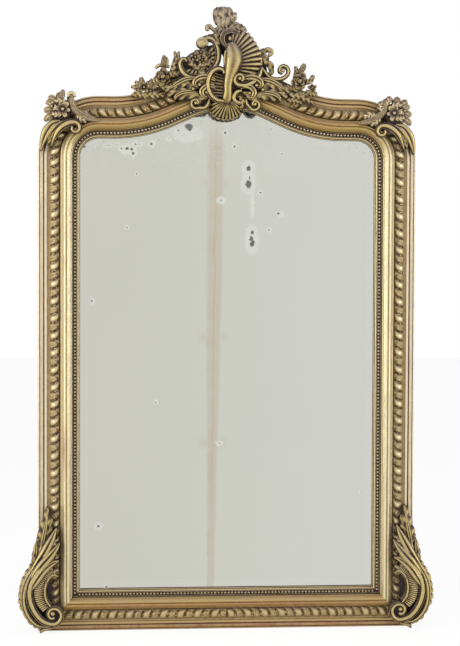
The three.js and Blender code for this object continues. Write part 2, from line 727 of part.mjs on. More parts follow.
// A spray and a scroll lie on each shoulder, and a scroll and a tall leaf at each foot.
for (const [name, side] of [['left', -1], ['right', 1]]) {
  const shoulder = anchor(side, outerHalfWidth, outerTop);
  const foot = anchor(side, outerHalfWidth, 0);

  carved[`shoulder_scroll_${name}`] = (grow) => joined([
    strand(shoulder, [[122, -108], [125, -90], [113, -79], [96, -82], [77, -90], [60, -106],
      [47, -128], [40, -146]], [5, 7, 9, 10, 10, 9, 6, 2],
    [48, 50, 52, 52, 52, 48, 42, 36], 24, grow),
    knob(shoulder, [120, -112], 9, 50, 20, grow),
    strand(shoulder, [[56, -84], [37, -90], [23, -114], [13, -140], [8, -164]], [8, 12, 13, 9, 2],
      [38, 42, 40, 34, 28], 22, grow),
    strand(shoulder, [[60, -106], [44, -104], [30, -112]], [8, 9, 6], [44, 42, 38], 24, grow),
  ]);

  carved[`shoulder_spray_${name}`] = (grow) => joined([
    rose(shoulder, [72, -42], 28, 60, 30, grow),
    strand(shoulder, [[66, -26], [70, -6], [74, side < 0 ? 15 : -2]], [10, 11, 2], [44, 46, 40],
      20, grow),
    strand(shoulder, [[56, -26], [42, -14], [30, -12]], [9, 10, 3], [42, 44, 38], 20, grow),
    strand(shoulder, [[50, -40], [34, -38], [22, -44]], [9, 11, 4], [42, 42, 36], 22, grow),
    strand(shoulder, [[50, -54], [34, -60], [18, -74]], [9, 12, 4], [42, 42, 34], 22, grow),
    strand(shoulder, [[100, 2], [98, -12], [98, -27], [108, -46], [128, -60], [154, -70],
      [176, -74]], [5, 9, 9, 10, 11, 8, 2], [44, 50, 52, 54, 52, 48, 44], 26, grow),
  ]);

  carved[`foot_scroll_${name}`] = (grow) => joined([
    fan(foot, [[-6, 28], [-28, 56], [-40, 86], [-45, 114], [-40, 142], [-28, 168], [-7, 200],
      [0, 228], [24, 246], [48, 240], [30, 206], [16, 176], [10, 128], [16, 92], [36, 70],
      [66, 66], [66, 30], [40, 22]], -8, 28, grow),
    strand(foot, [[56, 233], [34, 220], [11, 198], [-9, 168], [-20, 142], [-23, 114], [-15, 83],
      [0, 56], [18, 34], [40, 22], [64, 28], [75, 52], [64, 72], [46, 77], [33, 66], [36, 50]],
    [3, 9, 12, 13, 13, 13, 12, 11, 10, 9, 8, 8, 8, 7, 7, 6],
    [46, 52, 58, 62, 64, 64, 64, 64, 62, 60, 60, 60, 60, 60, 60, 60], 30, grow),
    knob(foot, [47, 60], 9, 62, 26, grow),
    strand(foot, [[12, 18], [-10, 30], [-31, 53], [-43, 84], [-47, 114], [-43, 142], [-30, 168],
      [-9, 200], [-1, 232], [-3, 262]], [5, 8, 10, 11, 12, 12, 12, 12, 9, 2],
    [42, 48, 52, 54, 54, 54, 52, 50, 46, 38], 30, grow),
    strand(foot, [[3, 218], [20, 245], [34, 274], [50, 302]], [10, 13, 11, 2], [46, 50, 50, 44],
      28, grow),
    strand(foot, [[8, 196], [24, 214], [42, 236], [60, 258]], [10, 12, 10, 2], [52, 54, 52, 46],
      30, grow),
    strand(foot, [[56, 176], [34, 178], [18, 160], [12, 128], [18, 96], [35, 68]],
      [4, 9, 11, 11, 10, 8], [46, 52, 56, 56, 56, 56], 32, grow),
  ]);

  carved[`foot_leaf_${name}`] = (grow) => strand(foot, [[14, 250], [16, 278], [22, 308], [28, 338],
    [26, 364]], [16, 18, 15, 9, 1.5], [38, 42, 42, 40, 34], 28, grow);

  carvedAfter[`shoulder_scroll_${name}`] = [];
  carvedAfter[`shoulder_spray_${name}`] = [`shoulder_scroll_${name}`];
  carvedAfter[`foot_scroll_${name}`] = [];
  carvedAfter[`foot_leaf_${name}`] = [`foot_scroll_${name}`];
}

for (const [name, shape] of Object.entries(carved)) {
  const cut = carvedAfter[name].reduce(
    (rest, other) => rest.subtract(carved[other](fit)),
    shape(0).subtract(seat),
  );
  place(name, mainBody(cut), name === 'crest_board' ? finish.pine : finish.gilt);
}

// The origin is the middle of the foot: half way from left to right and from front to back.
const size = new THREE.Box3().setFromObject(group);
const middle = size.getCenter(new THREE.Vector3());
group.position.set(-middle.x, -middle.y, -size.min.z);
group.updateMatrixWorld(true);

export default group;
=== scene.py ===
# The look of a tall gilt overmantel mirror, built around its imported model: moulded and carved
# gilding on a pine chassis, a foxed and stained old plate, and brass hanging rings behind.
# Lengths in the drawings below are millimetres: across, up, and forward of the chassis back.
import math

import bpy
import numpy as np
from mathutils import Matrix, Vector


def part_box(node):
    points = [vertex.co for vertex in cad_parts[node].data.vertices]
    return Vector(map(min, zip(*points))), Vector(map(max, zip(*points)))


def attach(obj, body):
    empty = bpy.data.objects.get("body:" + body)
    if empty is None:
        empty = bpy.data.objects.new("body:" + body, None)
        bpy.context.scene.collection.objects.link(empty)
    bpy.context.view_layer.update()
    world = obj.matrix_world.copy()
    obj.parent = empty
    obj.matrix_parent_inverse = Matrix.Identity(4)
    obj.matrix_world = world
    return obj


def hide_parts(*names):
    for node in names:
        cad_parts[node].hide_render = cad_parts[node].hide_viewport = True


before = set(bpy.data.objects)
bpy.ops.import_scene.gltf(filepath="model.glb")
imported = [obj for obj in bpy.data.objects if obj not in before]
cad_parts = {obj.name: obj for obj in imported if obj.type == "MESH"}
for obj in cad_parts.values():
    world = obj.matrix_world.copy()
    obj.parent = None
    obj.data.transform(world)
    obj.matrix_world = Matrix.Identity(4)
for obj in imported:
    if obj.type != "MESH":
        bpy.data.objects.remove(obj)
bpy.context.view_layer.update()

MM = 0.001
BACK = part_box("chassis_bottom")[1].y      # the wall side of the chassis
CHASSIS = 28.0                            # its depth; a rise is a height above its front

# ------------------------------------------------------------------ the camera and the studio
CAMERA_AT = Vector((-0.3041, BACK - 4.2, 1.0339))
YAW, PITCH, ROLL = math.radians(4.26), math.radians(-1.88), math.radians(0.22)
FOCAL_PIXELS, PICTURE_HEIGHT, SENSOR = 1432.7, 646.0, 36.0


def add_camera():
    ahead = Vector((math.sin(YAW) * math.cos(PITCH), math.cos(YAW) * math.cos(PITCH),
                    math.sin(PITCH)))
    right = Vector((math.cos(YAW), -math.sin(YAW), 0.0))
    up = right.cross(ahead)
    across = right * math.cos(ROLL) + up * math.sin(ROLL)
    upright = up * math.cos(ROLL) - right * math.sin(ROLL)
    lens = bpy.data.cameras.new("picture")
    lens.sensor_fit = "VERTICAL"
    lens.sensor_height = SENSOR
    lens.sensor_width = SENSOR
    lens.lens = FOCAL_PIXELS * SENSOR / PICTURE_HEIGHT
    lens.clip_end = 60.0
    camera = bpy.data.objects.new("picture", lens)
    camera.matrix_world = Matrix((across, upright, -ahead)).transposed().to_4x4()
    camera.matrix_world.translation = CAMERA_AT
    bpy.context.scene.collection.objects.link(camera)
    bpy.context.scene.camera = camera


def add_softbox(name, place, target, width, height, power, colour):
    light = bpy.data.lights.new(name, "AREA")
    light.shape = "RECTANGLE"
    light.size = width
    light.size_y = height
    light.energy = power
    light.color = colour
    lamp = bpy.data.objects.new(name, light)
    lamp.location = place
    lamp.rotation_euler = (Vector(target) - Vector(place)).to_track_quat("-Z", "Y").to_euler()
    bpy.context.scene.collection.objects.link(lamp)


# ------------------------------------------------------------------ shader words
def srgb(red, green, blue):
    """A colour as it is read off a screen, 0 to 255, as the shader's own numbers."""
    return tuple(
        (c / 255 / 12.92) if c <= 10 else ((c / 255 + 0.055) / 1.055) ** 2.4
        for c in (red, green, blue)
    ) + (1.0,)


class Value:
    """One socket of a node. Arithmetic on it adds Math nodes."""

    def __init__(self, look, socket):
        self.look = look
        self.socket = socket

    def out(self, name):
        return Value(self.look, self.socket.node.outputs[name])

    def math(self, operation, *others):
        return self.look.node("ShaderNodeMath", {"operation": operation}, [self, *others])

    def __add__(self, other):
        return self.math("ADD", other)

    def __mul__(self, other):
        return self.math("MULTIPLY", other)

    def __sub__(self, other):
        return self.math("SUBTRACT", other)

    def __rsub__(self, other):
        return self.look.node("ShaderNodeMath", {"operation": "SUBTRACT"}, [other, self])

    def __truediv__(self, other):
        return self.math("DIVIDE", other)

    def __pow__(self, other):
        return self.math("POWER", other)

    __radd__ = __add__
    __rmul__ = __mul__

    def clamp(self):
        return self.look.node("ShaderNodeClamp", {}, [self])

    def most(self, other):
        return self.math("MAXIMUM", other)

    def near(self, other, reach):
        """1 where the value is another, falling straight to 0 at a reach on both sides."""
        return 1 - ((self - other).math("ABSOLUTE") / reach).clamp()

    def rise(self, low, high, bottom=0.0, top=1.0):
        """Goes smoothly from bottom to top as the value goes from low to high."""
        return self.look.node("ShaderNodeMapRange", {"interpolation_type": "SMOOTHSTEP"},
                              [self, low, high, bottom, top])


class Look:
    """A finish in the making, of a material or of the studio's air."""

    def __init__(self, owner):
        owner.use_nodes = True
        self.owner = owner
        self.tree = owner.node_tree
        self.tree.nodes.clear()

    def node(self, kind, settings=None, sockets=None, out=0):
        """A new node: its settings first, then its sockets by name or in order."""
        made = self.tree.nodes.new(kind)
        for name, setting in (settings or {}).items():
            if name == "stops":
                self.set_stops(made, setting)
            else:
                setattr(made, name, setting)
        if isinstance(sockets, list):
            sockets = dict(enumerate(sockets))
        for key, given in (sockets or {}).items():
            if isinstance(given, Value):
                self.tree.links.new(given.socket, made.inputs[key])
            else:
                made.inputs[key].default_value = given
        return None if out is None else Value(self, made.outputs[out])

    def set_stops(self, ramp_node, stops):
        ramp = ramp_node.color_ramp
        while len(ramp.elements) < len(stops):
            ramp.elements.new(0.5)
        for element, (position, colour) in zip(ramp.elements, stops):
            element.position = position
            element.color = colour

    def ramp(self, value, stops):
        return self.node("ShaderNodeValToRGB", {"stops": stops}, [value])

    def blend(self, share, first, second, kind="MIX"):
        return self.node("ShaderNodeMix", {"data_type": "RGBA", "blend_type": kind},
                         {0: share, 6: first, 7: second}, out=2)

    def noise(self, place, scale, detail=3.0, roughness=0.55, distortion=0.0):
        return self.node("ShaderNodeTexNoise", {}, {
            "Vector": place, "Scale": scale, "Detail": detail, "Roughness": roughness,
            "Distortion": distortion})

    def place(self):
        """Where a point is in the object's own frame, in metres."""
        return self.node("ShaderNodeTexCoord", out="Object")

    def facing(self):
        return self.node("ShaderNodeNewGeometry", out="Normal")

    def stretch(self, place, factors):
        return self.node("ShaderNodeVectorMath", {"operation": "MULTIPLY"}, [place, factors])

    def attribute(self, name, out="Color"):
        return self.node("ShaderNodeAttribute", {"attribute_name": name}, out=out)

    def parts(self, vector):
        """How far across, back and up a place or a way is."""
        across = self.node("ShaderNodeSeparateXYZ", {}, [vector])
        return across, across.out("Y"), across.out("Z")

    def shelter(self, distance):
        """1 in the open and 0 in a deep recess."""
        return self.node("ShaderNodeAmbientOcclusion", {"samples": 8},
                         {"Distance": distance}, out="AO")

    def bump(self, height, strength, distance):
        return self.node("ShaderNodeBump", {}, {
            "Height": height, "Strength": strength, "Distance": distance})

    def finish(self, **sockets):
        named = {name.replace("_", " "): given for name, given in sockets.items()}
        shader = self.node("ShaderNodeBsdfPrincipled", {}, named)
        self.node("ShaderNodeOutputMaterial", {}, [shader], out=None)
        return self.owner


# ------------------------------------------------------------------ finishes
BOLE, PALE_BOLE = srgb(132, 70, 50), srgb(190, 122, 92)
# Dust colours, which also carry a painted grey light from above on what faces up.
DUST_AND_TOP_LIGHT, PALE_DUST_AND_TOP_LIGHT = srgb(70, 57, 52), srgb(182, 163, 140)
BARE_GESSO = srgb(222, 214, 198)
LEVEL_BROWN = srgb(208, 185, 132)
FINE_RELIEF = 0.0014                      # how high the grain of old gilding stands, in metres


def gilding(name, pale, gold, umber, worn, dust_and_top_light, crisp, brown, streaked=False, deep=0.38,
            rough_leaf=0.14, darkest=(60, 45, 39)):
    """Old water gilding: leaf gone thin to red bole, umber and painted shade in the hollows, painted
    highlights on the ridges, and dust with a painted grey light from above on top.

    Of the four numbers after the colours, the first says how much bole shows, the second how much dust
    and painted grey light from above, the third how sharp the grain is, and the fourth how much level
    browning shows; deep is how much painted shade darkens a sheltered hollow and rough_leaf how patchy
    the leaf is.
    """
    look = Look(bpy.data.materials.new(name))
    carved = deep > 0.5
    relief = look.node("ShaderNodeSeparateColor", {}, [look.attribute("relief")])
    ridge, rubbed, level = relief, relief.out("Green"), relief.out("Blue")
    place = look.place()
    course = look.attribute("course", out="Vector")
    cloud = look.noise(place, 9.0, 4.0)
    mottle = look.noise(place, 75.0, 5.0, 0.65)
    speck = look.noise(place, 420.0, 3.0, 0.7)
    streak = look.noise(look.stretch(course, (9.0, 260.0, 260.0)), 1.0, 4.0, 0.6)
    patch = streak if streaked else mottle
    open_air = look.shelter(0.028 if carved else 0.014)

    # How bright the leaf is: painted highlight on the ridges and painted shade in the hollows, where
    # umber lies too, from its place on the relief and how sheltered it is; then uneven at three scales.
    height = ridge * ((1 - deep) + open_air * deep) + (mottle - 0.5) * 0.30
    height = height + (speck - 0.5) * rough_leaf
    height = height + (patch - 0.5) * (0.46 if streaked else 0.26) + (cloud - 0.5) * 0.20
    height = (height - 0.5) * (1.45 if carved else 1.0) + (0.40 if carved else 0.5)
    warm = [g * 0.4 + p * 0.6 for g, p in zip(gold, pale)]
    colour = look.ramp(height.clamp(), [
        (0.04, srgb(*darkest)), (0.20, srgb(*umber)), (0.46, srgb(*gold)),
        (0.68, srgb(*warm)), (0.90, srgb(*pale)),
    ])
    colour = look.blend(level * brown, colour, LEVEL_BROWN, "MULTIPLY")

    patchy = mottle.rise(0.35, 0.65)
    thin_leaf = patch.rise(0.56, 0.68) * cloud.rise(0.45, 0.62) * worn
    bole_mask = thin_leaf.most(rubbed * patch.rise(0.34, 0.50)).clamp()
    colour = look.blend(bole_mask * 0.75, colour, look.blend(patchy, BOLE, PALE_BOLE))

    # Dust, with a painted grey light from above, lies on what faces up; dust also lies near the top,
    # with some in patches all over.
    high = look.parts(place)[2].rise(1.60, 1.80) * 0.9
    settled_dust_and_top_light = look.parts(look.facing())[2].rise(0.0, 0.7) * (0.35 + mottle * 1.1)
    settled_dust_and_top_light = settled_dust_and_top_light + high * mottle.rise(0.25, 0.55) + cloud.rise(0.42, 0.62) * patchy * 0.5
    dust_and_top_light_mask = (settled_dust_and_top_light * dust_and_top_light).clamp()
    colour = look.blend(dust_and_top_light_mask, colour, look.blend(height, DUST_AND_TOP_LIGHT, PALE_DUST_AND_TOP_LIGHT))
    chip = speck.rise(0.64, 0.69) * cloud.rise(0.50, 0.6) * ridge.rise(0.5, 0.9)
    colour = look.blend(chip * 0.7, colour, BARE_GESSO)

    metal = ((1 - bole_mask) * (1 - dust_and_top_light_mask) * height.rise(0.15, 0.6) * 0.60).clamp()
    rough = (0.58 - height.rise(0.2, 0.9) * 0.22 + dust_and_top_light_mask * 0.3 + bole_mask * 0.2
             + (mottle - 0.5) * 0.24)
    cracks = look.node("ShaderNodeTexVoronoi", {"feature": "DISTANCE_TO_EDGE"},
                       {"Vector": look.stretch(course, (38.0, 9.0, 9.0)), "Scale": 1.0})
    grain = mottle * 0.6 + speck * 0.35 + cracks.rise(0.0, 0.03) * 0.3
    return look.finish(Base_Color=colour, Metallic=metal, Roughness=rough.clamp(),
                       Normal=look.bump(grain, crisp, FINE_RELIEF))


def timber(name, dark, light, grain, stain=0.4, shaded_front=False):
    """Bare softwood that has been against a wall for a century. grain is the axis it runs."""
    look = Look(bpy.data.materials.new(name))
    place = look.place()
    along = tuple(2.2 if axis == grain else 46.0 for axis in "XYZ")
    lines = look.noise(look.stretch(place, along), 1.0, 5.0, 0.62, 0.5)
    fine = look.noise(look.stretch(place, tuple(s * 6.0 for s in along)), 1.0, 3.0, 0.6)
    cloud = look.noise(place, 5.0, 4.0)
    figure = (lines * 9.0).math("FRACT")
    figure = figure.rise(0.0, 0.75) * (1 - figure.rise(0.8, 1.0))
    tint = (figure * 0.5 + fine * 0.5 + (cloud - 0.5) * 0.5).clamp()
    colour = look.blend(tint, srgb(*dark), srgb(*light))
    # Painted shade in sheltered corners and between parts, with stains in patches.
    grime_and_shade = ((1 - look.shelter(0.03)) * 0.9 + cloud.rise(0.5, 0.75) * stain).clamp()
    colour = look.blend(grime_and_shade, colour, srgb(62, 48, 38))
    if shaded_front:
        # The front is painted dark as shade, for it lies behind the mouldings and carving.
        front = 1 - look.parts(look.facing())[1].rise(-0.3, 0.2)
        colour = look.blend(front, colour, look.blend(tint, srgb(44, 33, 25), srgb(92, 72, 46)))
    return look.finish(Base_Color=colour, Roughness=0.72 + fine * 0.2,
                       Normal=look.bump(figure * 0.4 + fine * 0.6, 0.5, 0.0006))


def aged_metal(name, bright, tarnish, roughness):
    look = Look(bpy.data.materials.new(name))
    place = look.place()
    cloud = look.noise(place, 60.0, 4.0)
    fine = look.noise(place, 700.0, 3.0)
    sheltered = 1 - look.shelter(0.004)
    dull = (cloud.rise(0.42, 0.62) * 0.7 + sheltered * 0.6 + (fine - 0.5) * 0.3).clamp()
    return look.finish(
        Base_Color=look.blend(dull, srgb(*bright), srgb(*tarnish)), Metallic=0.95 - dull * 0.45,
        Roughness=roughness + dull * 0.3, Normal=look.bump(fine + cloud, 0.35, 0.0003))


STAIN_FOOT, STAIN_LEAN = -0.0496, 0.0097  # where the joint of the boards stands, and its lean
STAIN_CORE, SMUDGE_REACH = 0.0045, 0.052
BATTEN_HEIGHTS, BATTEN_HALF = (1.303, 0.855, 0.545), 0.022
BEVEL_START = -0.0268                     # from the sight line
# Foxing: each spot is a dark core in a pale halo: across, up, core, halo, height to width.
FOXING = [
    (-418, 1406, 3, 9, 1), (-310, 1402, 3, 12, 0.8), (-294, 1401, 5.5, 18, 0.9),
    (-281, 1400, 4, 14, 1), (-276, 1388, 4.5, 13, 1), (-269, 1414, 3, 12, 0.8),
    (-259, 1415, 2, 10, 0.8), (-224, 1416, 3.5, 12, 1), (-324, 1414, 2, 9, 0.8),
    (-346, 1410, 2, 11, 0.7), (-355, 1409, 2, 11, 0.7), (-388, 1413, 0, 13, 0.7),
    (-175, 1430, 1.5, 10, 0.8), (-300, 1392, 0, 12, 0.7), (-116, 1467, 12, 24, 0.7),
    (-122, 1452, 0, 44, 0.75), (-113, 1460, 6, 12, 1.1), (-92, 1444, 0, 22, 0.8),
    (-146, 1456, 2, 5, 1), (-134, 1440, 1.5, 4, 1), (-9, 1449, 3, 11, 1), (18, 1411, 3, 9, 1),
    (-266, 1329, 2.5, 7, 1), (157, 1391, 3, 7, 1), (59, 1347, 7, 21, 1.2),
    (59, 1301, 10, 24, 1.3), (60, 1324, 0, 20, 2.3), (62, 1322, 2, 4, 4), (94, 1277, 3, 9, 1),
    (-21, 1254, 2.5, 15, 0.8), (71, 1236, 0, 6, 6), (147, 1216, 2.5, 5, 1),
    (156, 1214, 0, 9, 1), (120, 1169, 3, 10, 1), (71, 1162, 5, 14, 1.2),
    (69, 1143, 5, 16, 1.4), (70, 1141, 0, 22, 2.1), (74, 1133, 5, 9, 1),
    (70, 1127, 6, 15, 1.2), (-294, 1172, 1, 7, 1), (-395, 960, 1, 8, 1.5),
    (-210, 665, 3, 9, 1), (-23, 544, 2, 12, 0.7), (395, 400, 1, 8, 1), (-376, 303, 4.5, 14, 1),
    (-353, 125, 2, 8, 1), (370, 1418, 1.5, 10, 0.5),
]


def old_plate(name):
    """Mercury-grey looking glass, foxed at the top, with one long stain from the board joint."""
    look = Look(bpy.data.materials.new(name))
    place = look.place()
    across, _, up = look.parts(place)
    wander = look.noise(place, 26.0, 4.0)
    grit = look.noise(place, 200.0, 4.0, 0.75)
    cloud = look.noise(place, 2.6, 3.0)
    # Painted reflection: the plate is a little lighter and cooler toward the right.
    colour = look.blend(across.rise(-0.43, 0.43), srgb(201, 201, 190), srgb(206, 208, 200))
    colour = look.blend((cloud - 0.35).clamp() * 0.35, colour, srgb(212, 212, 198))

    # The stain follows the joint of the boards behind, and leans a little to the left.
    drift = (wander - 0.5) * 0.010
    off = ((across - (STAIN_FOOT + up * STAIN_LEAN)) + drift).math("ABSOLUTE")
    band = 1 - (off / up.rise(0.1, 1.2, 0.014, 0.030)).rise(0.45, 1.0)
    stain = band * up.rise(1.40, 1.47, 0.75, 0.15) * (0.48 + wander * 0.5)
    streak = off.near(0.0, STAIN_CORE) * 0.36 * up.rise(0.2, 0.5)
    smudge = off.near(0.0, SMUDGE_REACH).rise(0.0, 0.5)
    for height in BATTEN_HEIGHTS:
        stain = stain.most(up.near(height, BATTEN_HALF) * smudge * 0.32)
    colour = look.blend((stain + streak).clamp() * 0.62, colour, srgb(186, 165, 132))

    # Foxing: each spot's edge wanders, and the plate is flaked along its top edge.
    top_edge = look.attribute("rim", out="Fac")
    flake = look.noise(place, 120.0, 5.0, 0.75)
    fringe = top_edge.rise(-0.050, -0.006) * up.rise(1.30, 1.38) * wander.rise(0.36, 0.50)
    halo = fringe * flake.rise(0.48, 0.58) * 0.8
    core = fringe.rise(0.35, 0.7) * flake.rise(0.63, 0.66)
    for x, z, dark, pale, tall in FOXING:
        dx = across - x * MM
        dz = (up - z * MM) / tall
        away = ((dx * dx + dz * dz) ** 0.5) + (wander - 0.5) * 0.009 + (grit - 0.5) * 0.010
        halo = halo.most(1 - away.rise(pale * 0.75 * MM, pale * 1.15 * MM))
        if dark:
            core = core.most(1 - away.rise(dark * 0.6 * MM, dark * 1.2 * MM))
    colour = look.blend(halo * 0.75, colour, srgb(222, 224, 216))
    colour = look.blend(core * 0.9, colour, look.blend(grit, srgb(58, 60, 58), srgb(108, 108, 102)))
    # Painted reflection on the bevel: a faintly lighter band over it and a darker line where it starts.
    bevel_reflection = top_edge.rise(BEVEL_START - 0.0004, BEVEL_START + 0.0006)
    colour = look.blend(bevel_reflection * 0.10, colour, srgb(214, 216, 208))
    colour = look.blend(top_edge.near(BEVEL_START, 0.0011) * 0.16, colour, srgb(176, 178, 170))
    silvered = (1 - core * 0.95) * (1 - halo * 0.35) * (1 - stain * 0.35)
    rough = (0.045 + halo * 0.25 + core * 0.5 + stain * 0.12 + (grit - 0.5) * 0.02).clamp()
    normal = look.bump(core * -1.0 + look.noise(place, 3.5, 1.0) * 0.4, 0.08, 0.0006)
    return look.finish(Base_Color=colour, Metallic=silvered, Roughness=rough, Normal=normal)


# ------------------------------------------------------------------ lines and meshes
def running(line):
    """How far along a line each of its rows is."""
    steps = np.linalg.norm(np.diff(line[:, :2], axis=0), axis=1)
    return np.concatenate([[0.0], np.cumsum(steps)])


def smooth_line(points, count=None, spacing=2.5):
    """Evenly spaced rows of a smooth curve through the given rows; the first two are a place."""
    rows = np.array(points, float)
    gaps = np.sqrt(np.linalg.norm(np.diff(rows[:, :2], axis=0), axis=1)).clip(0.2)
    knots = np.concatenate([[0.0], np.cumsum(gaps)])
    slopes = np.gradient(rows, knots, axis=0)
    u = np.linspace(0, 1, 24, endpoint=False)[:, None]
    dense = []
    for i, gap in enumerate(np.diff(knots)):
        dense.append((2 * u**3 - 3 * u**2 + 1) * rows[i] + (u**3 - 2 * u**2 + u) * gap * slopes[i]
                     + (3 * u**2 - 2 * u**3) * rows[i + 1] + (u**3 - u**2) * gap * slopes[i + 1])
    dense = np.vstack(dense + [rows[-1:]])
    run = running(dense)
    if count is None:
        count = max(5, int(run[-1] / spacing) + 1)
    wanted = np.linspace(0, run[-1], count)
    return np.stack([np.interp(wanted, run, column) for column in dense.T], axis=1)


def turned_left(ahead):
    """The unit ways to the left of the given ways."""
    ahead = ahead / np.linalg.norm(ahead, axis=1)[:, None].clip(1e-9)
    return np.stack([-ahead[:, 1], ahead[:, 0]], axis=1)


def sideways(line):
    """The unit way to the left of each row of a line."""
    return turned_left(np.gradient(line[:, :2], axis=0))


def beside(line, reach):
    """Places beside each row of a line; reach is how far to its left."""
    return line[:, None, :2] + sideways(line)[:, None, :] * reach[..., None]


def hump(values, middle, width):
    """1 at the middle, easing away to 0 over a few widths on both sides."""
    return np.exp(-(((values - middle) / width) ** 2))


def backed(values, front, behind, count=2):
    """A value for each point of a front, and one value for the points on its back."""
    return np.hstack([np.broadcast_to(values, front.shape[:2]),
                      np.full((len(front), count), behind)])


class Piece:
    """One piece of the object, gathered from closed tubes of rings of points."""

    def __init__(self, name):
        self.name = name
        self.points = []
        self.faces = []
        self.relief = []
        self.course = []
        self.rim = []
        self.count = 0

    def tube(self, rings, ridge, rubbed=0.0, tone=0.0, course=None, rim=-1.0):
        """Adds a tube, capped at both ends. rings is [ring, point, (across, up, forward)].

        ridge is 1 on ridges and 0 in hollows: it paints highlight on ridges and shade in hollows, with
        umber there too; rubbed 1 where the bole shows through, tone 1 where the leaf is brown. course
        is where streaks run, rim how far the sight line is.
        """
        rings = np.asarray(rings, float)
        rows, size = rings.shape[:2]
        around = np.arange(size)
        after = (around + 1) % size
        starts = np.arange(rows - 1)[:, None] * size
        quads = np.stack([starts + around, starts + after, starts + size + after,
                          starts + size + around], axis=2).reshape(-1, 4)
        caps = [around[::-1], (rows - 1) * size + around]
        flat = rings.reshape(-1, 3)
        a, b, c, d = (flat[quads[:, k]] for k in range(4))
        volume = np.einsum("ij,ij->", a - flat.mean(axis=0), np.cross(c - a, d - b))
        # Across, up and forward are a left-handed set, so a positive volume faces inwards.
        if volume > 0:
            quads = quads[:, ::-1]
            caps = [cap[::-1] for cap in caps]
        self.faces += [tuple(face) for face in (quads + self.count).tolist()]
        self.faces += [tuple((cap + self.count).tolist()) for cap in caps]
        self.points.append(flat)
        shades = np.ones((rows, size, 4))
        shades[..., 0] = ridge
        shades[..., 1] = rubbed
        shades[..., 2] = tone
        self.relief.append(shades.reshape(-1, 4))
        self.course.append((rings if course is None else course).reshape(-1, 3) * MM)
        self.rim.append(np.broadcast_to(rim, (rows, size)).reshape(-1) * MM)
        self.count += rows * size

    def make(self, material, body, slot, *nodes, crease=48.0):
        drawn = np.vstack(self.points)
        placed = np.stack([drawn[:, 0] * MM, BACK - drawn[:, 2] * MM, drawn[:, 1] * MM], axis=1)
        mesh = bpy.data.meshes.new(self.name)
        mesh.from_pydata(placed.tolist(), [], self.faces)
        mesh.shade_smooth()
        mesh.set_sharp_from_angle(angle=math.radians(crease))
        relief = mesh.color_attributes.new("relief", "FLOAT_COLOR", "POINT")
        relief.data.foreach_set("color", np.vstack(self.relief).astype(np.float32).ravel())
        course = mesh.attributes.new("course", "FLOAT_VECTOR", "POINT")
        course.data.foreach_set("vector", np.vstack(self.course).astype(np.float32).ravel())
        rim = mesh.attributes.new("rim", "FLOAT", "POINT")
        rim.data.foreach_set("value", np.concatenate(self.rim).astype(np.float32))
        mesh.materials.append(material)
        made = bpy.data.objects.new(self.name, mesh)
        bpy.context.scene.collection.objects.link(made)
        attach(made, body)
        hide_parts(*nodes)


# ------------------------------------------------------------------ the sight line
SIGHT_HALF, SIGHT_BOTTOM, SIGHT_TOP = 430.0, 120.0, 1431.0
SHOULDER_RADIUS = 55.0
ARCH_HALF, ARCH_RISE, CAP_SHARE = 335.0, 87.0, 0.352
ARCH_ANGLE = 1.66 * math.atan2(ARCH_RISE, ARCH_HALF)
ARCH_RADII = ((ARCH_HALF * math.sin(ARCH_ANGLE) - ARCH_RISE * math.cos(ARCH_ANGLE))
              / (1 - math.cos(ARCH_ANGLE)))
SHOULDER_START = SIGHT_TOP - SHOULDER_RADIUS
MOULDING_WIDTH, MOULDING_MIDDLE = 120.0, 60.0
PEAK = SIGHT_TOP + ARCH_RISE + MOULDING_WIDTH


def arc_stations(centre, radius, start, end, step, hollow=False):
    """Stations [x, z, way out across, way out up] along an arc, angles from +X."""
    reach = radius if hollow else radius + MOULDING_MIDDLE
    count = max(3, int(abs(end - start) * reach / step) + 1)
    angles = np.linspace(start, end, count)
    ways = np.stack([np.cos(angles), np.sin(angles)], axis=1)
    return np.hstack([np.array(centre) + ways * radius, -ways if hollow else ways])


def straight(first, last, step):
    first, last = np.array(first, float), np.array(last, float)
    count = max(2, int(np.linalg.norm((last - first)[:2]) / step) + 1)
    share = np.linspace(0, 1, count)[:, None]
    return first + (last - first) * share


def mirrored(stations):
    return (stations * (-1, 1, -1, 1))[::-1]


def member(name, step):
    """The stations of one member of the frame."""
    quarter = math.pi / 2
    if name == "bottom":
        return straight((SIGHT_HALF, SIGHT_BOTTOM, 1, -1), (-SIGHT_HALF, SIGHT_BOTTOM, -1, -1), step)
    if name.endswith("right"):
        return mirrored(member(name.replace("right", "left"), step))
    if name == "left":
        return straight((-SIGHT_HALF, SIGHT_BOTTOM, -1, -1), (-SIGHT_HALF, SHOULDER_START, -1, 0),
                        step)
    cap_radius = ARCH_RADII * CAP_SHARE
    valley_radius = ARCH_RADII - cap_radius
    shoulder = arc_stations((SHOULDER_RADIUS - SIGHT_HALF, SHOULDER_START), SHOULDER_RADIUS,
                            math.pi, quarter, step)
    valley = arc_stations((-ARCH_HALF, SIGHT_TOP + valley_radius), valley_radius,
                          -quarter, ARCH_ANGLE - quarter, step, hollow=True)
    cap = arc_stations((0.0, SIGHT_TOP + ARCH_RISE - cap_radius), cap_radius,
                       quarter + ARCH_ANGLE, quarter, step)
    flat = straight(shoulder[-1], valley[0], step)[1:-1]
    slope = straight(valley[-1], cap[0], step)[1:-1]
    half = np.vstack([shoulder, flat, valley, slope, cap])
    return half if name == "top_left" else np.vstack([half, mirrored(half)[1:]])


def line_at(stations, offset):
    """The line that runs along a member at an offset from the sight line."""
    return stations[:, :2] + stations[:, 2:] * offset


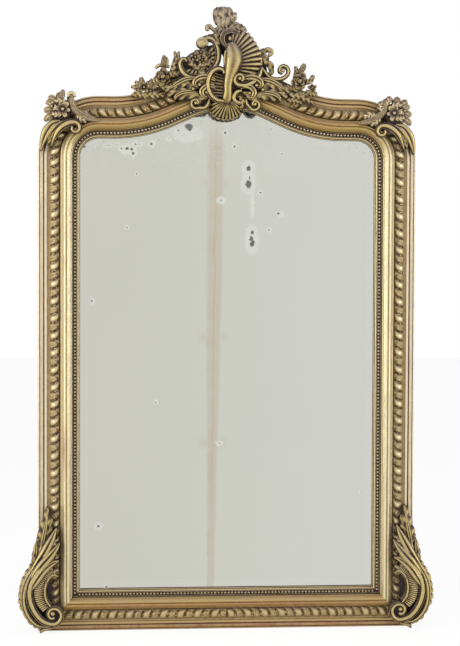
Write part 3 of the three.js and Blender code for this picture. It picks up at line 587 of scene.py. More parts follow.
def level_share(stations):
    """1 where a member lies level and 0 where it stands upright."""
    if np.ptp(stations[:, 0]) < 1.0:
        return np.zeros(len(stations))
    if np.ptp(stations[:, 1]) < 1.0:
        return np.ones(len(stations))
    return np.abs(stations[:, 3]) / np.linalg.norm(stations[:, 2:], axis=1)


def sweep(piece, stations, offsets, heights, ridge, back, rubbed=0.0):
    """Sweeps a face along stations. heights, ridge and rubbed are [station, offset] or less."""
    places = stations[:, None, :2] + stations[:, None, 2:] * offsets[None, :, None]
    front = np.dstack([places, np.broadcast_to(heights, places.shape[:2])])
    backs = front[:, [-1, 0]].copy()
    backs[:, :, 2] = back
    rings = np.concatenate([front, backs], axis=1)
    course = rings.copy()
    course[:, :, 0] = running(line_at(stations, MOULDING_MIDDLE))[:, None]
    course[:, :, 1] = np.concatenate([offsets, offsets[[-1, 0]]])
    # Level members have gone browner than the upright ones.
    piece.tube(rings, backed(ridge, front, 0.0), rubbed=backed(rubbed, front, 0.0),
               tone=level_share(stations)[:, None], course=course)


# ------------------------------------------------------------------ mouldings
MEMBERS = ["bottom", "left", "right", "top_left", "top_right"]
GLUE_LINE = CHASSIS + 0.3                 # the back of what is glued to the chassis
# Each face is [offset from the sight line, rise above the chassis front, ridge]; ridge paints highlight
# near 1 and shade near 0.
SLIP_FACE = [
    (0, 3, 0.8), (0.5, 4.4, 0.95), (1.3, 4.6, 0.8), (2.0, 3.8, 0.15), (2.7, 4.4, 0.12),
    (3.2, 8.0, 0.5), (4.2, 9.6, 0.95), (6.0, 10, 0.95), (7.0, 9.4, 0.5), (7.35, 7.6, 0.1),
]
BEAD_FACE = [
    (7.65, 8.4, 0.1), (8.0, 11.2, 0.7), (8.8, 11.9, 0.85), (9.5, 10.8, 0.35), (10.1, 7.4, 0.16),
    (14.3, 6.8, 0.24), (18.4, 7.4, 0.22), (18.9, 10.8, 0.4), (19.6, 12.4, 0.85),
    (20.4, 12.0, 0.7), (20.85, 9.8, 0.1),
]
MAIN_FACE = [
    (21.15, 18, 0.1), (21.5, 24.5, 0.55), (22.3, 27.4, 0.8), (23.4, 28.2, 0.7),
    (24.0, 28.0, 0.35), (24.6, 30.6, 0.7), (26.0, 34.2, 0.93), (28.2, 38.4, 1.0),
    (30.4, 41.0, 1.0), (32.6, 41.9, 0.92), (34.2, 41.3, 0.75), (35.8, 39.4, 0.42),
    (37.0, 38.9, 0.36), (38.3, 39.8, 0.55), (40.2, 40.4, 0.80), (42.6, 39.4, 0.84),
    (45.4, 36.6, 0.80), (48.2, 32.8, 0.72), (51.0, 29.0, 0.66), (52.8, 27.2, 0.60),
    (53.6, 27.0, 0.62), (54.4, 25.4, 0.35), (54.85, 21.0, 0.0),
]
EDGE_FACE = [
    (93.15, 14, 0.2), (93.8, 15.4, 0.7), (95.4, 16, 0.92), (98.6, 15.7, 0.85),
    (100.6, 15.2, 0.7), (101.4, 13.0, 0.2), (102.6, 11.4, 0.02), (103.8, 12.2, 0.15),
    (104.6, 14.0, 0.6), (106.4, 14.4, 0.85), (110.2, 14.0, 0.78), (112.8, 13.6, 0.7),
    (113.6, 12.2, 0.15), (114.8, 11.4, 0.05), (115.6, 12.6, 0.6), (117.2, 13.0, 0.95),
    (119.0, 11.4, 0.85), (120.0, 8.0, 0.5),
]
WORN_RAIL = {"bottom": 1.0, "left": 0.30, "right": 0.25, "top_left": 0.5, "top_right": 0.5}
# Where the leaf of the main face is rubbed through: [along the member, over, how much].
RUBBED_PLACES = {
    "left": [(560, 55, 1.0), (1080, 20, 0.5)], "right": [(255, 30, 1.0), (900, 26, 0.4)],
    "bottom": [(150, 230, 1.0), (-270, 110, 0.8)],
    "top_left": [(-215, 90, 0.8)], "top_right": [(215, 90, 0.8)],
}


def fine_face(face, spacing=0.8):
    line = smooth_line(face, spacing=spacing)
    return line[:, 0], CHASSIS + line[:, 1], line[:, 2].clip(0, 1)


def plain_band(band, members, face, back, look, slot, spacing=0.8, rub=None):
    """A plain moulding along members, with the slow unevenness of one finished by hand."""
    offsets, heights, ridge = fine_face(face, spacing)
    for name in members:
        stations = member(name, 7.0)
        run = running(line_at(stations, MOULDING_MIDDLE))[:, None]
        uneven = (0.16 * np.sin(run / 61.0 + 0.3) + 0.1 * np.sin(run / 23.0 + 1.7)
                  + 0.06 * np.sin(run / 9.0 + 4.0))
        rubbed = rub(name, stations, offsets) if rub else 0.0
        piece = Piece(f"gilt_{band}_{name}")
        sweep(piece, stations, offsets, heights + uneven, ridge, back, rubbed)
        piece.make(look, "frame", slot, f"{band}_{name}")


def face_rub(name, stations, offsets):
    """Where the leaf is rubbed through to the bole on the main moulding."""
    along = stations[:, 1 if name in ("left", "right") else 0]
    patch = sum(much * hump(along, at, over) for at, over, much in RUBBED_PLACES[name])
    band = hump(offsets, 46, 5) + 0.5 * hump(offsets, 36.5, 2)
    return (patch[:, None] * band).clip(0, 1)


def edge_rub(name, stations, offsets):
    """The outer flutes are rubbed, most of all along the foot of the frame."""
    run = running(line_at(stations, MOULDING_MIDDLE))[:, None]
    patch = 0.5 + 0.5 * np.sin(run / 47.0 + len(name)) * np.sin(run / 19.0)
    band = hump(offsets, 103, 3.5) + hump(offsets, 110, 4)
    return (WORN_RAIL[name] * (0.3 + 0.7 * patch) * band).clip(0, 1)


# ------------------------------------------------------------------ the bead string
BEAD_OFFSET, BEAD_PITCH, BEAD_RADIUS, BEAD_RISE = 14.3, 9.9, 4.25, 14.4
BEAD_MARGIN = 15.0                        # kept free at the mitres of the bottom member


def bead(piece, x, z, top, radius, tall=1.0, long=1.0, sides=10, rows=5, ridge=1.0):
    """A round bead or boss: a dome on a short neck. top is its height above the chassis back."""
    angles = np.linspace(0, 2 * math.pi, sides, endpoint=False)
    rings = []
    shades = []
    for lift in np.linspace(-0.5, math.pi / 2 - 0.12, rows):
        girth = radius * math.cos(lift)
        rings.append(np.stack([x + np.cos(angles) * girth * long, z + np.sin(angles) * girth,
                               np.full(sides, top - radius * tall * (1 - math.sin(lift)))], axis=1))
        # Painted highlight on the crown of the dome, painted shade down its neck.
        shades.append([ridge * (0.15 + 0.85 * max(0.0, math.sin(lift)) ** 1.5)])
    piece.tube(rings, np.array(shades))


def bead_places(name, length):
    """How far along its member each bead sits."""
    if name == "bottom":
        count = int(round((length - BEAD_MARGIN) / BEAD_PITCH))
        return (length - (count - 1) * BEAD_PITCH) / 2 + np.arange(count) * BEAD_PITCH
    return np.arange(BEAD_PITCH / 2, length - 1.0, length / round(length / BEAD_PITCH))


def bead_string(name, look):
    piece = Piece(f"gilt_bead_string_{name}")
    offsets, heights, ridge = fine_face(BEAD_FACE, 0.9)
    sweep(piece, member(name, 7.0), offsets, heights, ridge, GLUE_LINE)
    line = line_at(member(name, 2.0), BEAD_OFFSET)
    run = running(line)
    # How bright the beads are painted, highlight and all; those along the bottom are dimmer.
    shine = 0.7 if name == "bottom" else 0.85
    for i, at in enumerate(bead_places(name, run[-1])):
        x, z = (np.interp(at, run, line[:, k]) for k in (0, 1))
        wobble = 0.25 * math.sin(i * 2.7) + 0.2 * math.sin(i * 1.1)
        bead(piece, x, z, CHASSIS + BEAD_RISE + wobble, BEAD_RADIUS, tall=0.9, ridge=shine)
    piece.make(look, "frame", "gilt_bright", f"bead_string_{name}")


# ------------------------------------------------------------------ the gadroon band
GADROON_START, GADROON_END, GADROON_PITCH, GADROON_RISE = 55.15, 92.85, 24.9, 13.0
GADROON_FLOOR = [(55.15, 15.0), (56.5, 14.0), (70.0, 15.5), (84.5, 13.2), (88.0, 11.8),
                 (92.85, 12.6)]
GADROON_BODY = 0.86                       # the share of a gadroon between its two reeds


def gadroon_floor(offsets):
    return np.interp(offsets, *np.array(GADROON_FLOOR).T)[None, :]


def gadroon_relief(run, offsets, lean):
    """Rise and ridge of the band: smooth bosses and pierced leaves in turn, on a slant. The ridge
    paints highlights on the bosses and reeds and shade in the lines between them.
    """
    share = ((offsets - 56.0) / 30.0)[None, :]
    inside = (share > 0) & (share < 1)
    share = share.clip(0, 1)
    toward = 1 - share
    slant = 15.0 * (toward ** 2 - 0.30 * toward)
    place = (run - lean * slant) / GADROON_PITCH
    cell = np.floor(place)
    v = (place - cell - 0.5) * 2
    wing = np.abs(v)
    smooth_cell = np.mod(cell, 2) == 0
    swell = np.sin(np.pi * share ** 0.9).clip(0) ** 0.5
    boss = (1 - (wing / GADROON_BODY).clip(0, 1) ** 2.6) ** 0.6 * swell
    reed = np.sin(np.pi * ((wing - GADROON_BODY) / (1 - GADROON_BODY)).clip(0, 1))
    wave = np.cos(v * 7.5) * np.cos((share - 0.1) * 19.0 + v * 1.5)
    fringe = np.cos(np.arctan2(v, share - 0.15) * 7.0)
    leaf = boss * (0.76 + 0.16 * wave + 0.10 * fringe)
    body = np.where(smooth_cell, boss, leaf) + 0.42 * reed * swell ** 0.5
    rim = hump(offsets, 86.3, 0.9)[None, :]
    rise = gadroon_floor(offsets) + GADROON_RISE * np.where(inside, body, 0.0) + 0.9 * rim
    ridge = np.where(smooth_cell, 0.38 + 0.60 * boss, 0.34 + 0.58 * leaf * (0.85 + 0.3 * wave))
    # Painted shade in the two dark lines between gadroons.
    dark = hump(wing, 0.84, 0.05) + hump(wing, 1.0, 0.03)
    ridge = (ridge - 0.55 * dark + 0.40 * reed) * (0.55 + 0.45 * swell)
    channel = ((offsets - 87.0) / 5.0).clip(0, 1)[None, :]
    ridge = np.where(share >= 1, 0.30 + 0.25 * channel, ridge)
    return rise, (ridge + 0.3 * rim).clip(0, 1)


def gadroon_band(name, look):
    stations = member(name, 1.55)
    offsets = np.linspace(GADROON_START, GADROON_END, 27)
    lean, contrast = 1.0, 0.86
    if name == "bottom":
        # The gadroons of the bottom band lean away from its middle, and their painted highlights and
        # shade are the weakest.
        places = stations[:, None, 0] + stations[:, None, 2] * offsets
        lean, contrast = -np.sign(places), 0.55
    elif name in ("left", "right"):
        places = stations[:, None, 1] + stations[:, None, 3] * offsets
    else:
        places = running(line_at(stations, 74.0))[:, None]
        if name == "top_right":
            places = places[-1] - places
    rise, ridge = gadroon_relief(places, offsets, lean)
    if name.startswith("top"):
        # Beside the crest the band runs out into a plain channel under the carving.
        x = np.abs(line_at(stations, 70.0)[:, :1])
        end = 92.0 if name == "top_left" else 178.0
        keep = ((x - end) / 8.0).clip(0, 1)
        floor = gadroon_floor(offsets) + 3.0
        rise = floor + (rise - floor) * keep
        ridge = 0.55 + (ridge - 0.55) * keep
    ridge = 0.66 + (ridge - 0.66) * contrast
    piece = Piece(f"gilt_gadroon_band_{name}")
    sweep(piece, stations, offsets, CHASSIS + rise, ridge, GLUE_LINE)
    piece.make(look, "frame", "gilt", f"gadroon_band_{name}")


# ------------------------------------------------------------------ carver's strokes
# The sections of straps: [across, drop, ridge], for a half width and a height of one; ridge paints
# highlight and shade across a strap.
ROUND = [(-1, -1, 0.1), (-0.94, -0.66, 0.35), (-0.80, -0.36, 0.6), (-0.58, -0.14, 0.85),
         (-0.3, -0.03, 1.0), (0, 0, 1.0), (0.3, -0.03, 1.0), (0.58, -0.14, 0.85),
         (0.80, -0.36, 0.6), (0.94, -0.66, 0.35), (1, -1, 0.1)]
RIMMED = [(-1, -1, 0.15), (-0.97, -0.35, 0.6), (-0.84, -0.02, 1.0), (-0.66, -0.10, 0.75),
          (-0.5, -0.36, 0.25), (-0.2, -0.42, 0.35), (0.1, -0.34, 0.5), (0.42, -0.36, 0.3),
          (0.6, -0.12, 0.7), (0.8, 0, 1.0), (0.95, -0.3, 0.6), (1, -1, 0.15)]
REEDED = [(-1, -1, 0.1), (-0.96, -0.45, 0.5), (-0.80, -0.28, 0.75), (-0.62, -0.42, 0.25),
          (-0.52, -0.5, 0.05), (-0.42, -0.22, 0.5), (-0.18, -0.02, 1.0), (0.1, 0, 1.0),
          (0.4, -0.12, 0.9), (0.6, -0.40, 0.3), (0.68, -0.5, 0.05), (0.8, -0.34, 0.6),
          (0.94, -0.5, 0.4), (1, -1, 0.1)]
BODY = [(-1, -1, 0.1), (-0.95, -0.64, 0.3), (-0.82, -0.36, 0.55), (-0.62, -0.16, 0.95),
        (-0.42, -0.08, 0.98), (-0.2, -0.06, 0.66), (0.02, -0.02, 0.60), (0.22, 0, 0.74),
        (0.42, -0.05, 0.92), (0.62, -0.15, 0.70), (0.82, -0.36, 0.5), (0.95, -0.64, 0.3),
        (1, -1, 0.1)]
FROND = [(-1, -1, 0.05), (-0.92, -0.5, 0.4), (-0.66, -0.12, 0.9), (-0.34, -0.02, 1.0),
         (-0.08, -0.26, 0.45), (0.04, -0.42, 0.1), (0.16, -0.24, 0.5), (0.44, 0, 1.0),
         (0.72, -0.12, 0.85), (0.93, -0.5, 0.4), (1, -1, 0.05)]
FLANK_SHADE = 0.46                              # the ridge given to the sides and backs of the carving: they are painted in half shade
TUCK = np.array([0.8, -0.8])              # the back of a strap is a little narrower than its face


def curl(centre, radius, start, turns, half_width, rise, tighten=0.3, steps=9, lift=4.0):
    """Rows of a volute, from its outside in. start is in degrees; turns may be negative."""
    rows = []
    for share in np.linspace(0, 1, steps + 1):
        angle = math.radians(start) + turns * 2 * math.pi * share
        reach = radius * (1 - (1 - tighten) * share)
        rows.append((centre[0] + reach * math.cos(angle), centre[1] + reach * math.sin(angle),
                     half_width * (1 - 0.45 * share), rise + lift * share))
    return rows


class Carving(Piece):
    """A piece of carving. Its strokes are drawn from an origin, and a right one is mirrored."""

    def __init__(self, name, origin=(0.0, 0.0), side=1):
        super().__init__(name)
        self.origin = origin
        self.side = side

    def tube(self, rings, ridge, **others):
        rings = np.array(rings, float)
        rings[..., 0] = self.origin[0] + self.side * rings[..., 0]
        rings[..., 1] += self.origin[1]
        super().tube(rings, ridge, **others)

    def carved_face(self, front, shade, depth, chosen=(-1, 0)):
        """A carved face with its back a depth behind the chosen lines of it."""
        backs = front[:, list(chosen)].copy()
        backs[:, :, 2] -= depth
        self.tube(np.concatenate([front, backs], axis=1), backed(shade, front, FLANK_SHADE, len(chosen)))

    def scroll(self, path, section=ROUND, depth=24.0, relief=1.0, spacing=2.2, worn=1.0):
        """A strap swept along rows of across, up, half width and rise."""
        line = smooth_line(path, spacing=spacing)
        across, drop, ridge = np.array(section).T
        width = line[:, 2:3].clip(0.6)
        ledge = np.minimum(width * relief, depth * 0.6)
        top = CHASSIS + line[:, 3:]
        front = np.dstack([beside(line, width * across), top + ledge * drop])
        backs = np.dstack([beside(line, width * TUCK), np.repeat(top - depth, 2, axis=1)])
        course = np.zeros((len(line), len(section) + 2, 3))
        course[:, :, 0] = running(line)[:, None]
        course[:, :-2, 1] = across * 8
        # The section's ridge paints highlight and shade across the strap; a strap dimmed almost to
        # nothing is painted dark as shade.
        self.tube(np.concatenate([front, backs], axis=1), backed(ridge * worn, front, FLANK_SHADE),
                  course=course)

    def leaf(self, path, lobes=5, notch=0.42, slant=0.55, cup=0.34, vein=0.5, depth=14.0,
             grooves=0):
        """A carved leaf along rows of across, up, half width and rise."""
        line = smooth_line(path, spacing=1.4)
        share = np.linspace(0, 1, len(line))
        u = share[:, None]
        v = np.linspace(-1, 1, 17)[None, :]
        wing = np.abs(v)
        width = line[:, 2:3].clip(0.5)
        length = running(line)[-1]
        # The two sides of a leaf are a little out of step.
        phase = lobes * u + 0.18 * np.sign(v) + 0.1
        lobe = np.abs(np.sin(np.pi * phase)) ** 0.55 if lobes else np.ones_like(u * v)
        outline = width * (1 - notch * (1 - lobe) * wing ** 0.5)
        # Its wings sweep forward: a point far out belongs to a place further along the midrib.
        at = (u * length + wing ** 1.4 * slant * width.max()).clip(0, length) / length
        ways = sideways(line)
        centre, way = (np.stack([np.interp(at, share, of[:, k]) for k in (0, 1)], axis=2)
                       for of in (line, ways))
        places = centre + way * (outline * v)[..., None]
        # Painted highlight and shade: a bright midrib between two dark lines, darker toward the edges
        # and darkest in the notches between lobes.
        rib = hump(wing, 0, 0.07) - 0.9 * hump(wing, 0.17, 0.07)
        swell = (lobe - 0.6) * width * 0.26 * wing ** 0.8
        shade = 0.86 - 0.24 * wing ** 2 + 0.50 * vein * rib + np.zeros_like(u)
        if lobes:
            shade = shade * (1 - 0.85 * (1 - lobe ** 3) * wing ** 0.5)
        if grooves:
            comb = 0.5 + 0.5 * np.cos(2 * np.pi * grooves * wing)
            swell = swell + (comb - 0.5) * width * 0.14
            shade = shade * (0.5 + 0.5 * comb)
        crown = CHASSIS + np.interp(at, share, line[:, 3])
        heights = crown - cup * width * wing ** 2 + vein * width * 0.14 * rib + swell
        front = np.dstack([places, heights])
        under = np.array([0.75, 0.0, -0.75])
        low = np.repeat(CHASSIS + line[:, 3:] - depth, len(under), axis=1)
        backs = np.dstack([beside(line, width * under), low])
        self.tube(np.concatenate([front, backs], axis=1),
                  backed(shade.clip(0, 1), front, FLANK_SHADE, len(under)))

    def scrolls(self, paths, *section, **how):
        for path in paths:
            self.scroll(path, *section, **how)

    def leaves(self, paths, **how):
        for path in paths:
            self.leaf(path, **how)

    def flutes(self, inner, outer, count, depth=20.0, amount=4.0, swell=3.0, scallop=0.05,
               fill=9, dark=0.08):
        """A fan of flutes ruled from one line to another; rows are across, up and rise."""
        rows = count * 9 + 1
        first = smooth_line(inner, count=rows)
        second = smooth_line(outer, count=rows)
        rounded = np.abs(np.sin(np.pi * count * np.linspace(0, 1, rows)))[:, None] ** 0.6
        b = np.linspace(0, 1, fill)
        reach = b * (1 + scallop * (rounded - 0.5))
        places = first[:, None, :2] + (second - first)[:, None, :2] * reach[..., None]
        base = first[:, 2:] + (second - first)[:, 2:] * b
        gain = amount * (0.25 + 0.75 * np.sin(np.pi * (b * 0.8 + 0.1)))
        heights = CHASSIS + base + np.sin(np.pi * b) * swell + (rounded - 0.6) * gain
        # Painted shade in the valleys between flutes and painted highlight on their rounds; dark sets
        # the darkest.
        shade = (dark + (1 - dark) * rounded ** 1.6) * (1 - 0.45 * np.abs(b - 0.75))
        self.carved_face(np.dstack([places, heights]), shade, depth)

    def ruffle(self, path, count, spread, depth=14.0, lean=0.35):
        """A frilled border: rows of across, up and rise, and a row of lobes on its left."""
        rows = count * 10 + 1
        line = smooth_line(path, count=rows)
        ways = sideways(line)
        ahead = np.stack([ways[:, 1], -ways[:, 0]], axis=1)
        along = np.linspace(0, 1, rows)[:, None]
        # The lobes are carved by eye: some are wider and some reach further than the next.
        phase = count * (along + 0.012 * np.sin(np.pi * 5 * along))
        lobe = np.abs(np.sin(np.pi * phase)) ** 0.6
        b = np.linspace(0, 1, 7)
        reach = spread * (0.45 + (0.5 + 0.1 * np.sin(along * 23)) * lobe) * b
        shift = ahead[:, None, :] * (spread * lean * b ** 1.5)[:, None]
        arch = np.sin(np.pi * (b * 0.75 + 0.15))
        heights = CHASSIS + line[:, 2:] + arch * 2.5 + (lobe - 0.7) * 2.4 * b
        # Painted highlight on the lobes and painted shade between them and at their roots and tips.
        self.carved_face(np.dstack([beside(line, reach) + shift, heights]),
                   0.22 + 0.75 * lobe * arch ** 0.5, depth)

    def boss(self, x, z, rise, radius, tall=1.0, long=1.0, ridge=1.0):
        bead(self, x, z, CHASSIS + rise, radius, tall=tall, long=long, sides=16, rows=8, ridge=ridge)

    def petal(self, x, z, way, near, far, spread, rise, lift, curl_over, blunt):
        """One cupped petal that opens from a middle along way, in radians."""
        a = np.linspace(-1, 1, 11)[:, None]
        b = np.linspace(0, 1, 8)
        angle = way + a * spread * 0.5
        reach = near + (far - near) * np.cos(a * math.pi / 2) ** blunt * b
        cup = rise + lift * np.sin(b * math.pi * 0.62) - curl_over * b ** 6
        front = np.dstack([x + np.cos(angle) * reach, z + np.sin(angle) * reach,
                           CHASSIS + cup - 1.4 * a ** 2 * b])
        # Painted shade at the base of a petal and painted highlight toward its rim.
        shade = 0.12 + 0.80 * b ** 1.4 * (1 - 0.5 * a ** 2)
        self.carved_face(front, shade, 7.0, chosen=(-1, 3, 0))

    def rose(self, x, z, radius, rise, turn=0.0):
        """A full-blown rose: three rounds of cupped petals about a closed heart."""
        # A dark boss behind the petals, painted in shade.
        self.boss(x, z, rise - 10, radius * 0.8, tall=0.7, ridge=0.2)
        rounds = [(6, 0.45, 1.0, 1.35, -14, 7), (5, 0.32, 0.78, 1.5, -8, 7),
                  (4, 0.18, 0.54, 1.8, -3, 6)]
        for ring, (count, near, far, spread, drop, lift) in enumerate(rounds):
            for k in range(count):
                way = turn + ring * 0.6 + k * 2 * math.pi / count + 0.22 * math.sin(3.1 * k + ring)
                far_now = radius * far * (1 + 0.15 * math.sin(2.3 * k + 1.7 * ring + turn))
                self.petal(x, z, way, radius * near, far_now, spread,
                           rise + drop - 2.6 * (k % 2), lift, curl_over=3.0, blunt=0.5)
        heart = []
        for t in np.linspace(0, 9, 14):
            reach = radius * 0.20 * (1 - t / 11)
            heart.append((x + math.cos(t) * reach, z + math.sin(t) * reach, radius * 0.07,
                          rise + 1 + t * 0.3))
        self.scroll(heart, depth=8, spacing=1.2)

    def flower(self, x, z, radius, rise, turn=0.0, petals=5):
        """An open flower with a raised eye."""
        for k in range(petals):
            way = turn + k * 2 * math.pi / petals
            self.petal(x, z, way, radius * 0.18, radius * (1 - 0.12 * (k % 2)),
                       2.3 * math.pi / petals, rise - 6 - 2 * (k % 2), 4.5, curl_over=1.0,
                       blunt=0.6)
        self.boss(x, z, rise + 1.5, radius * 0.22, tall=1.2)

    def ground(self, outline, rise, thick, ridge=0.16):
        """A slab behind the carving, its front edge eased; its face is painted as dark as ridge says,
        the shade behind the carving.
        """
        line = smooth_line(list(outline) + [outline[0]], spacing=5.0)[:-1]
        after, before = np.roll(line, -1, axis=0), np.roll(line, 1, axis=0)
        inwards = turned_left(after - before) * np.sign(np.cross(line, after).sum())
        rings = [np.column_stack([line + inwards * inset, np.full(len(line), CHASSIS + rise + lift)])
                 for inset, lift in ((0.0, -thick), (0.0, -2.4), (0.8, -0.7), (2.4, 0.0))]
        self.tube(rings, np.array([[FLANK_SHADE], [FLANK_SHADE], [ridge], [ridge]]))


# ------------------------------------------------------------------ the crest
CREST = (0.0, PEAK)


def crest_cartouche(look):
    shell = Carving("carved_crest_cartouche", CREST)
    shell.ground([(-30, 84), (-12, 103), (18, 109), (47, 98), (72, 72), (90, 40), (94, 6),
                  (84, -24), (56, -46), (10, -50), (-14, -14), (-14, 46)], 26, 26)
    hub = [(4, 72, 56), (14, 58, 60), (22, 42, 63), (27, 22, 64), (28, 4, 64), (24, -12, 62),
           (16, -26, 58)]
    rim = [(4, 100, 46), (26, 104, 48), (50, 94, 48), (70, 70, 47), (84, 42, 47),
           (89, 12, 46), (83, -14, 46), (60, -40, 48)]
    shell.flutes(hub, rim, 13, amount=7.5, swell=4.0, depth=30, fill=14, scallop=0.14, dark=0.26)
    shell.ruffle([(88, -18, 40), (94, 6, 42), (90, 34, 42), (77, 62, 42), (57, 88, 42),
                  (32, 104, 42), (6, 108, 42)], 8, 10, lean=-0.2, depth=22)
    # The leaf that turns round the pearl at the head of the body.
    shell.scroll([(-6, 50, 3, 66), (-17, 58, 5, 67), (-23, 72, 7, 66), (-19, 88, 7.5, 64),
                  (-4, 97, 7.5, 62), (14, 95, 6.5, 62), (25, 86, 4, 60), (30, 74, 2, 58)], RIMMED,
                 depth=30)
    # A dark ground behind the leaf round the pearl, painted as shade.
    shell.ground([(-18, 66), (-14, 86), (2, 92), (16, 88), (16, 70), (6, 58), (-8, 56)], 52, 22,
                 ridge=0.0)
    shell.leaf([(-30, 58, 6, 56), (-38, 76, 9, 56), (-32, 94, 9, 54), (-16, 108, 3, 50)], lobes=3,
               depth=24)
    shell.leaf([(-14, 98, 6, 56), (4, 107, 9, 58), (26, 106, 9, 56), (44, 97, 2, 50)], lobes=4,
               depth=22)
    shell.boss(-1, 75, 63, 9, tall=1.1, long=0.72)
    # The smooth body, from the head down into the apron.
    shell.scroll([(0, 64, 12, 60), (4, 52, 19, 69), (9, 34, 24, 78), (10, 14, 26, 81.5),
                  (5, -10, 22, 79), (-2, -34, 15.5, 72), (-6, -56, 13, 68), (-6, -78, 13, 64),
                  (-8, -98, 16, 58), (-8, -112, 14, 52), (-9, -128, 8, 46)], BODY, depth=44,
                 relief=0.86)
    shell.scroll([(-13, 40, 3, 66), (-15, 22, 4, 66), (-14, 4, 4, 66), (-12, -14, 3, 66)], depth=30)
    # The right scroll, and the flutes that it carries.
    shell.scroll([(92, -8, 5, 54), (85, -28, 8, 60), (66, -48, 10, 64), (44, -58, 10.5, 66)]
                 + curl((28, -40), 18, -75, -0.95, 9, 66, tighten=0.42), REEDED, depth=32)
    shell.boss(28, -39, 68, 7, tall=1.2)
    shell.flutes([(24, -16, 52), (36, -26, 52), (50, -32, 52)],
                 [(44, -40, 50), (62, -36, 50), (80, -22, 50)], 4, amount=5)
    # The left crescent with its own small flutes.
    shell.flutes([(-20, -26, 50), (-17, -46, 50), (-17, -68, 50), (-22, -92, 50)],
                 [(-42, -18, 52), (-60, -36, 52), (-63, -62, 52), (-48, -92, 52)], 8, amount=5,
                 swell=-4, depth=24, dark=0.32)
    shell.scroll([(-17, -24, 5.5, 66), (-20, -15, 6.5, 66), (-36, -11, 8.5, 66),
                  (-53, -21, 9.5, 67), (-64, -44, 10, 68), (-63, -69, 10, 68), (-51, -91, 9, 67),
                  (-34, -102, 7.5, 66), (-18, -103, 5, 62)], REEDED, depth=32)
    shell.scroll([(34, -72, 4, 56), (20, -76, 5, 60), (11, -90, 5.5, 60), (16, -103, 5.5, 58),
                  (30, -106, 4, 54)])
    shell.leaf([(24, -88, 5, 54), (34, -98, 8, 56), (36, -112, 6, 54), (30, -124, 2, 48)], lobes=3)
    # The apron is a shell turned down.
    shell.ground([(-48, -94), (-60, -112), (-52, -136), (-31, -149), (-8, -154), (18, -149),
                  (35, -133), (40, -112), (30, -94)], 26, 22)
    shell.flutes([(-24, -104, 58), (-18, -112, 58), (-8, -115, 58), (2, -112, 58), (10, -104, 58)],
                 [(-56, -108, 36), (-50, -132, 31), (-30, -146, 29), (-8, -151, 28),
                  (17, -146, 29), (33, -130, 31), (37, -108, 36)], 13, amount=5.5, swell=9, depth=16,
                 scallop=0.12)
    shell.ruffle([(38, -104, 35), (38, -122, 31), (30, -136, 29), (12, -147, 28), (-9, -151, 27),
                  (-32, -147, 28), (-50, -134, 29), (-58, -116, 31), (-54, -102, 35)], 12, 5, lean=0,
                 depth=12)
    for x, z, dx, dz in ((-20, -104, -20, -22), (4, -104, 18, -22), (-8, -112, 0, -30)):
        shell.leaf([(x, z, 5, 58), (x + dx * 0.4, z + dz * 0.5, 6, 58), (x + dx, z + dz, 2, 50)],
                   lobes=0, grooves=2, depth=12)
    shell.make(look, "frame", "gilt_carving", "crest_cartouche")


